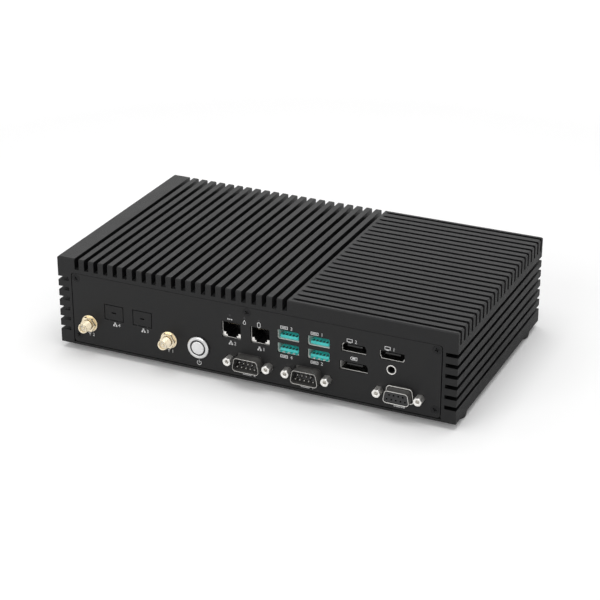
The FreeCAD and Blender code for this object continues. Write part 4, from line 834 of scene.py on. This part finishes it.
# ------------------------ network sockets
# Folded nickel-plated shields round black inserts, with eight sprung gold contacts in each. One
# tree bends the wires and lays them in their row.
WIRE_RADIUS = 0.16 * MM
nickel = surface("nickel_plated_steel", "#E6E4E0", "#F2F0EC", 0.6 * MM, 0.28, 0.4, 0.06, Metallic=0.9)
black_plastic = surface("moulded_black_plastic", "#0A0A0A", "#101010", 0.5 * MM, 0.4, 0.5, 0.15)
for number in ("1", "2"):
    dressed("lan_shield_" + number, nickel, "nickel_steel", 0.08 * MM)
    dressed("lan_insert_" + number, black_plastic, "black_plastic", 0.08 * MM)


def wire_tree():
    """A round wire that runs forwards and bends down, on each point."""
    tree, given = start_tree("bent wire", "Reach", "Drop", "Wire_radius")
    size = add_node(tree, "ShaderNodeCombineXYZ", {"Y": given["Drop"], "Z": given["Reach"]})
    bends = [add_node(tree, "ShaderNodeVectorMath", {0: size, 1: part}, operation="MULTIPLY")
             for part in ((0, 0.42, -0.48), (0, 0.42, 0.1), (0, -0.42, 0.48))]
    path = add_node(tree, "GeometryNodeCurveQuadraticBezier", {
        "Resolution": 10, "Start": bends[0], "Middle": bends[1], "End": bends[2]})
    section = add_node(tree, "GeometryNodeCurvePrimitiveCircle", {
        "Resolution": 10, "Radius": given["Wire_radius"]})
    wire = add_node(tree, "GeometryNodeCurveToMesh", {
        0: path, "Profile Curve": section, "Fill Caps": True})
    return stand(tree, given, wire)


boxes = solid_boxes("lan_contacts")
size = boxes[0][1] - boxes[0][0]
wires = grow(wire_tree(), "network_contacts", spots(boxes, 0.5, 0.5, 0.5), (0, -1, 0), gold, Reach=size.y,
             Drop=size.z, Wire_radius=WIRE_RADIUS)
settle(wires, BODY, "gold_brass", "lan_contacts")

# ------------------------ USB sockets
# Two stacks of two mouths, lined with matt tin. Each teal tongue carries five contacts, which one tree lays
# out in a row on the top of every tongue. The contacts are gold springs, given a dark finish as painted
# shade.
TONGUE_HEIGHT = 1.7 * MM
TONGUE_DEEP = 2.0 * MM
CONTACT_REACH = 1.9 * MM
CONTACT_INSET = 0.35 * MM
# Matt tin lines the USB mouths and rings the sound socket; the same bright finish is put on edges and walls
# of other sockets as painted highlights.
tin_and_painted_highlight = surface("matt_tin_plated_steel", "#ECEAE6", "#F6F4F0", 0.6 * MM, 0.42, 0.52, 0.06, Metallic=0.35)
teal = surface("moulded_teal_plastic", "#46D8D3", "#56E6E1", 0.5 * MM, 0.35, 0.42, 0.08)
# Black nickel lines the display sockets; the same dark finish is put on the USB contacts as painted shade.
black_nickel = surface("black_nickel_plated_steel", "#5E5D5A", "#6C6B68", 0.6 * MM, 0.3, 0.4, 0.06,
                       Metallic=1.0)


def contact_row_tree():
    """Rows of flat contacts side by side, one row on each point."""
    tree, given = start_tree("contact row", "Contacts", "Pitch", "Width", "Thickness", "Length")
    pitches = add_node(tree, "ShaderNodeMath", {0: given["Contacts"], 1: -0.5, 2: 0.5},
                       operation="MULTIPLY_ADD")
    begin = add_node(tree, "ShaderNodeMath", {0: pitches, 1: given["Pitch"]},
                     operation="MULTIPLY")
    start = add_node(tree, "ShaderNodeCombineXYZ", {"X": begin})
    step = add_node(tree, "ShaderNodeCombineXYZ", {"X": given["Pitch"]})
    line = add_node(tree, "GeometryNodeMeshLine", {
        "Count": given["Contacts"], "Start Location": start, "Offset": step})
    size = add_node(tree, "ShaderNodeCombineXYZ", {
        "X": given["Width"], "Y": given["Thickness"], "Z": given["Length"]})
    strip = add_node(tree, "GeometryNodeMeshCube", {"Size": size})
    row = add_node(tree, "GeometryNodeInstanceOnPoints", {
        "Points": line, "Instance": strip})
    return stand(tree, given, row)


tongue_tip = front_face + TONGUE_DEEP
contact_places = []
for side in ("left", "right"):
    insert = "usb_insert_" + side
    dressed("usb_shell_" + side, tin_and_painted_highlight, "nickel_steel", 0.06 * MM)
    dressed(insert, teal, "teal_plastic", 0.1 * MM)
    heights = [v.co.z for v in frame["nodes"][insert].data.vertices if abs(v.co.y - tongue_tip) < 0.1 * MM]
    for z in (max(heights), min(heights) + TONGUE_HEIGHT):
        contact_places.append((middle(insert).x, tongue_tip + CONTACT_REACH / 2 + CONTACT_INSET, z))
# The contacts take the dark finish: painted shade.
contacts = grow(contact_row_tree(), "usb_contacts", contact_places, (0, -1, 0), black_nickel, Contacts=5.0,
                Pitch=2.1 * MM, Width=1.0 * MM, Thickness=0.5 * MM, Length=CONTACT_REACH)
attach(contacts, BODY)

# ------------------------ picture and sound sockets
# Steel linings in black nickel. A thin band at the front of each lining is given matt tin as a painted
# highlight on its edge, and so is the left wall of the lower display socket; the ring of the sound socket is
# matt tin.
HIGHLIGHT_BAND = 0.08 * MM
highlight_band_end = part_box("display_shell_upper")[0].y + HIGHLIGHT_BAND
for node in ("display_shell_upper", "display_shell_lower", "media_shell"):
    lining = dressed(node, black_nickel, "nickel_steel", 0.04 * MM)
    # A thin band at the front edge takes the bright tin: a painted highlight.
    finish_where(lining, tin_and_painted_highlight, lambda f: f.center.y < highlight_band_end)
    if node == "display_shell_lower":
        # The left wall takes the bright tin: a painted highlight.
        finish_where(lining, tin_and_painted_highlight, lambda f: f.normal.x > 0.9)
for node in ("display_body", "media_body", "sound_jack"):
    dressed(node, black_plastic, "black_plastic", 0.1 * MM)
dressed("sound_jack_ring", tin_and_painted_highlight, "nickel_steel", 0.12 * MM)

# ------------------------ serial ports
# Drawn steel shells in matt black nickel. Their front rims and a band where the shell meets its flange are
# given bright metal as painted highlights. The two nine-way ports have turned pins in a grey insulator, the
# third port has bores in a dark one, partly darkened as painted shade, and hexagon jackscrews stand on both
# sides of each port.
FLANGE_BACK, FLANGE_FRONT = 0.95 * MM, 0.6 * MM
HEXAGON = 1.1547
filled_plastic = surface("glass_filled_grey_plastic", "#5C5C5E", "#68686A", 0.5 * MM, 0.5, 0.6, 0.2)
# Dark plastic for the third port's insulator; part of its darkness is painted shade for a recess, since its
# face stands flush.
socket_plastic = surface("moulded_dark_plastic", "#1A1A1B", "#222223", 0.5 * MM, 0.5, 0.6, 0.2)
matt_nickel = surface("matt_black_nickel_plated_steel", "#5E5D5B", "#6C6B69", 0.6 * MM, 0.4, 0.5, 0.1,
                      Metallic=0.5)
# Bright steel for the turned pins, also put on the shell rims as painted highlights.
pin_steel_and_rim_highlight = surface("bright_cut_steel", "#B8B6B2", "#C6C4C0", 0.5 * MM, 0.3, 0.4, 0.05, Metallic=1.0)
for node, rim in (("com_shell_1", pin_steel_and_rim_highlight), ("com_shell_2", pin_steel_and_rim_highlight), ("gpio_shell", tin_and_painted_highlight)):
    shell = dressed(node, matt_nickel, "black_nickel_steel", 0.1 * MM)
    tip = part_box(node)[0].y
    # A thin band at the front rim takes the bright finish: a painted highlight.
    finish_where(shell, rim, lambda f: f.center.y < tip + HIGHLIGHT_BAND)
    # A band where the shell meets its flange takes the bright finish: a painted highlight.
    finish_where(shell, rim, lambda f: front_face - FLANGE_BACK < f.center.y < front_face - FLANGE_FRONT)
for node, plastic in (("com_insulator_1", filled_plastic), ("com_insulator_2", filled_plastic),
                      ("gpio_insulator", socket_plastic)):
    dressed(node, plastic, "black_plastic", 0.12 * MM)


def pin_tree():
    """A round pin with a tapered tip, on each point."""
    tree, given = start_tree("contact pin", "Radius", "Length")
    wide = given["Radius"]
    body = hull(tree, 16, (wide, 0.55, 0.0, 0), (wide, 1, wide, -0.8), (wide, 1, given["Length"], -1))
    return stand(tree, given, body)


boxes = solid_boxes("com_pins")
size = boxes[0][1] - boxes[0][0]
pins = grow(pin_tree(), "serial_pins", spots(boxes, 0.5, 0, 0.5), (0, -1, 0), pin_steel_and_rim_highlight, Radius=size.x / 2,
            Length=size.y)
settle(pins, BODY, "gold_brass", "com_pins")


def jackscrew_tree():
    """A hexagon jackscrew with a countersunk bore down its head, on each point."""
    tree, given = start_tree("jackscrew", "Flats_radius", "Head_length", "Shank_radius", "Length",
                             "Bore_radius", "Bore_depth")
    flats, back, thin, hole, deep = [given[label] for label in (
        "Flats_radius", "Head_length", "Shank_radius", "Bore_radius", "Bore_depth")]
    head = hull(tree, 6, (flats, 1, 0.0, 0, 36), (flats, HEXAGON, flats, -0.12), (flats, HEXAGON, back, -1))
    shank = hull(tree, 20, (thin, 1, back, -1), (thin, 1, given["Length"], -1))
    drill = hull(tree, 24, (hole, 1, deep, 1), (hole, 1, deep, -1))
    sink = hull(tree, 24, (hole, 1.3, thin, 1), (hole, 1.3, 0.0, 0), (hole, 1, flats, -0.12))
    for tool in (drill, sink):
        head = add_node(tree, "GeometryNodeMeshBoolean", {"Mesh 1": head, "Mesh 2": tool},
                        operation="DIFFERENCE", solver="EXACT")
    whole = add_node(tree, "GeometryNodeJoinGeometry", {0: [head, shank]})
    return stand(tree, given, whole, 1.04)


jackscrews = grow(jackscrew_tree(), "serial_jackscrews", spots(solid_boxes("jackscrews"), 0.5, 0, 0.5),
                  (0, -1, 0), nickel, Flats_radius=2.375 * MM, Head_length=5.0 * MM, Shank_radius=1.4 * MM,
                  Length=12.0 * MM, Bore_radius=1.1 * MM, Bore_depth=3.5 * MM)
settle(jackscrews, BODY, "nickel_steel", "jackscrews")

# ------------------------ inside and rear
# The board, its cards and coolers, the button's switch and the sockets of the rear panel keep
# the CAD shape, in finishes of their own.
finishes = {
    "circuit_board": surface("black_solder_mask", "#0E1712", "#13201A", 0.8 * MM, 0.35, 0.45, 0.1),
    "raw_aluminium": surface("milled_aluminium", "#A9ABAD", "#B8BABC", 0.6 * MM, 0.3, 0.4, 0.1, Metallic=1.0),
    "thermal_gel": surface("grey_thermal_gel", "#7C8086", "#8A8E94", 1.0 * MM, 0.5, 0.6, 0.2),
    "grey_plastic": surface("moulded_grey_plastic", "#55575A", "#5F6164", 0.6 * MM, 0.45, 0.55, 0.1),
    "black_plastic": black_plastic, "nickel_steel": nickel, "gold_brass": gold,
    "black_zinc_steel": black_zinc, "stainless_steel": turned_steel, "clear_plastic": smoked,
    "black_nickel_steel": black_nickel,
}
replaced = {node for piece in bpy.data.objects for node in piece.get("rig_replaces", [])}
slot_of = {part["node"]: part["material_slot"] for part in frame["record"]["subparts"]}
for name, node in frame["nodes"].items():
    if name not in replaced:
        for slot in node.material_slots:
            slot.material = finishes[slot_of[name]]

# ------------------------ floor, light and camera
# A plain pale floor that keeps the computer's shadow and turns white with the distance, three
# soft lamps, and the camera at three-quarter view from the right, above the ports. The floor
# is greyer to the light that it sends back onto the computer.
HALF_FLOOR = 3.0
GLOW_FROM, GLOW_TO = 0.45, 1.2
NEAR_GLOW, FAR_GLOW = 0.07, 0.9
AMBIENT = 0.45
VIEW_PLACE = Vector((0.424976, -0.926887, 0.501857))
VIEW_WAY = Vector((-0.37798, 0.82362, -0.42284))
LENS = 110.66
floor_mesh = bpy.data.meshes.new("floor")
floor_mesh.from_pydata([(-HALF_FLOOR, -HALF_FLOOR, 0), (HALF_FLOOR, -HALF_FLOOR, 0),
                        (HALF_FLOOR, HALF_FLOOR, 0), (-HALF_FLOOR, HALF_FLOOR, 0)], [], [(0, 1, 2, 3)])
paper = surface("pale_paper_floor", "#FEFEFE", "#FFFFFF", 4 * MM, 0.9, 0.92, 0.02)
tree = paper.node_tree
shader = tree.nodes["Principled BSDF"]
path = add_node(tree, "ShaderNodeLightPath").outputs
seen = add_node(tree, "ShaderNodeMath", {0: path["Is Diffuse Ray"], 1: -1.0, 2: 1.0},
                operation="MULTIPLY_ADD")
colour = add_node(tree, "ShaderNodeMix", {
    "Factor": seen, 6: linear("#D6D6D6"), 7: tree.nodes["Color Ramp"].outputs["Color"]}, data_type="RGBA")
away = add_node(tree, "ShaderNodeVectorMath", {0: tree.nodes["Texture Coordinate"].outputs["Object"]},
                operation="LENGTH")
far = add_node(tree, "ShaderNodeMapRange", {
    "Value": away.outputs["Value"], "From Min": GLOW_FROM, "From Max": GLOW_TO,
    "To Min": NEAR_GLOW, "To Max": FAR_GLOW})
glow = add_node(tree, "ShaderNodeMath", {0: seen, 1: far}, operation="MULTIPLY")
tree.links.new(colour.outputs[2], shader.inputs["Base Color"])
tree.links.new(glow.outputs[0], shader.inputs["Emission Strength"])
shader.inputs["Emission Color"].default_value = linear("#FFFFFF")
new_piece("floor", floor_mesh, paper)

world = bpy.data.worlds.new("studio")
bpy.context.scene.world = world
world.use_nodes = True
tree = world.node_tree
tree.nodes.clear()
path = add_node(tree, "ShaderNodeLightPath").outputs
seen = path["Is Camera Ray"]
for ray in ("Is Transmission Ray", "Is Glossy Ray"):
    seen = add_node(tree, "ShaderNodeMath", {0: seen, 1: path[ray]}, operation="MAXIMUM")
ambient, white = [add_node(tree, "ShaderNodeBackground", {
    "Color": linear("#FFFFFF"), "Strength": strength}) for strength in (AMBIENT, 1.0)]
both = add_node(tree, "ShaderNodeMixShader", {0: seen, 1: ambient, 2: white})
add_node(tree, "ShaderNodeOutputWorld", {"Surface": both})


def aimed(name, data, place, way):
    """A lamp or a camera in its place, looking along its way."""
    holder = bpy.data.objects.new(name, data)
    holder.location = place
    holder.rotation_mode = "QUATERNION"
    holder.rotation_quaternion = way.to_track_quat("-Z", "Y")
    bpy.context.collection.objects.link(holder)
    return holder


for name, place, width, height, watts in (("back_light", (-0.75, 1.6, 1.0), 1.8, 1.0, 1.5),
                                          ("top_light", (0.1, 0.0, 1.5), 1.4, 1.2, 12.0),
                                          ("front_light", (-0.4, -1.5, 0.9), 1.0, 0.8, 7.0)):
    lamp = bpy.data.lights.new(name, "AREA")
    lamp.shape = "RECTANGLE"
    lamp.size = width
    lamp.size_y = height
    lamp.energy = watts
    aimed(name, lamp, place, -Vector(place))

lens = bpy.data.cameras.new("camera")
lens.lens = LENS
lens.sensor_width = 36
lens.clip_start = 0.01
bpy.context.scene.camera = aimed("camera", lens, VIEW_PLACE, VIEW_WAY)
bpy.context.scene.view_settings.view_transform = "Standard"
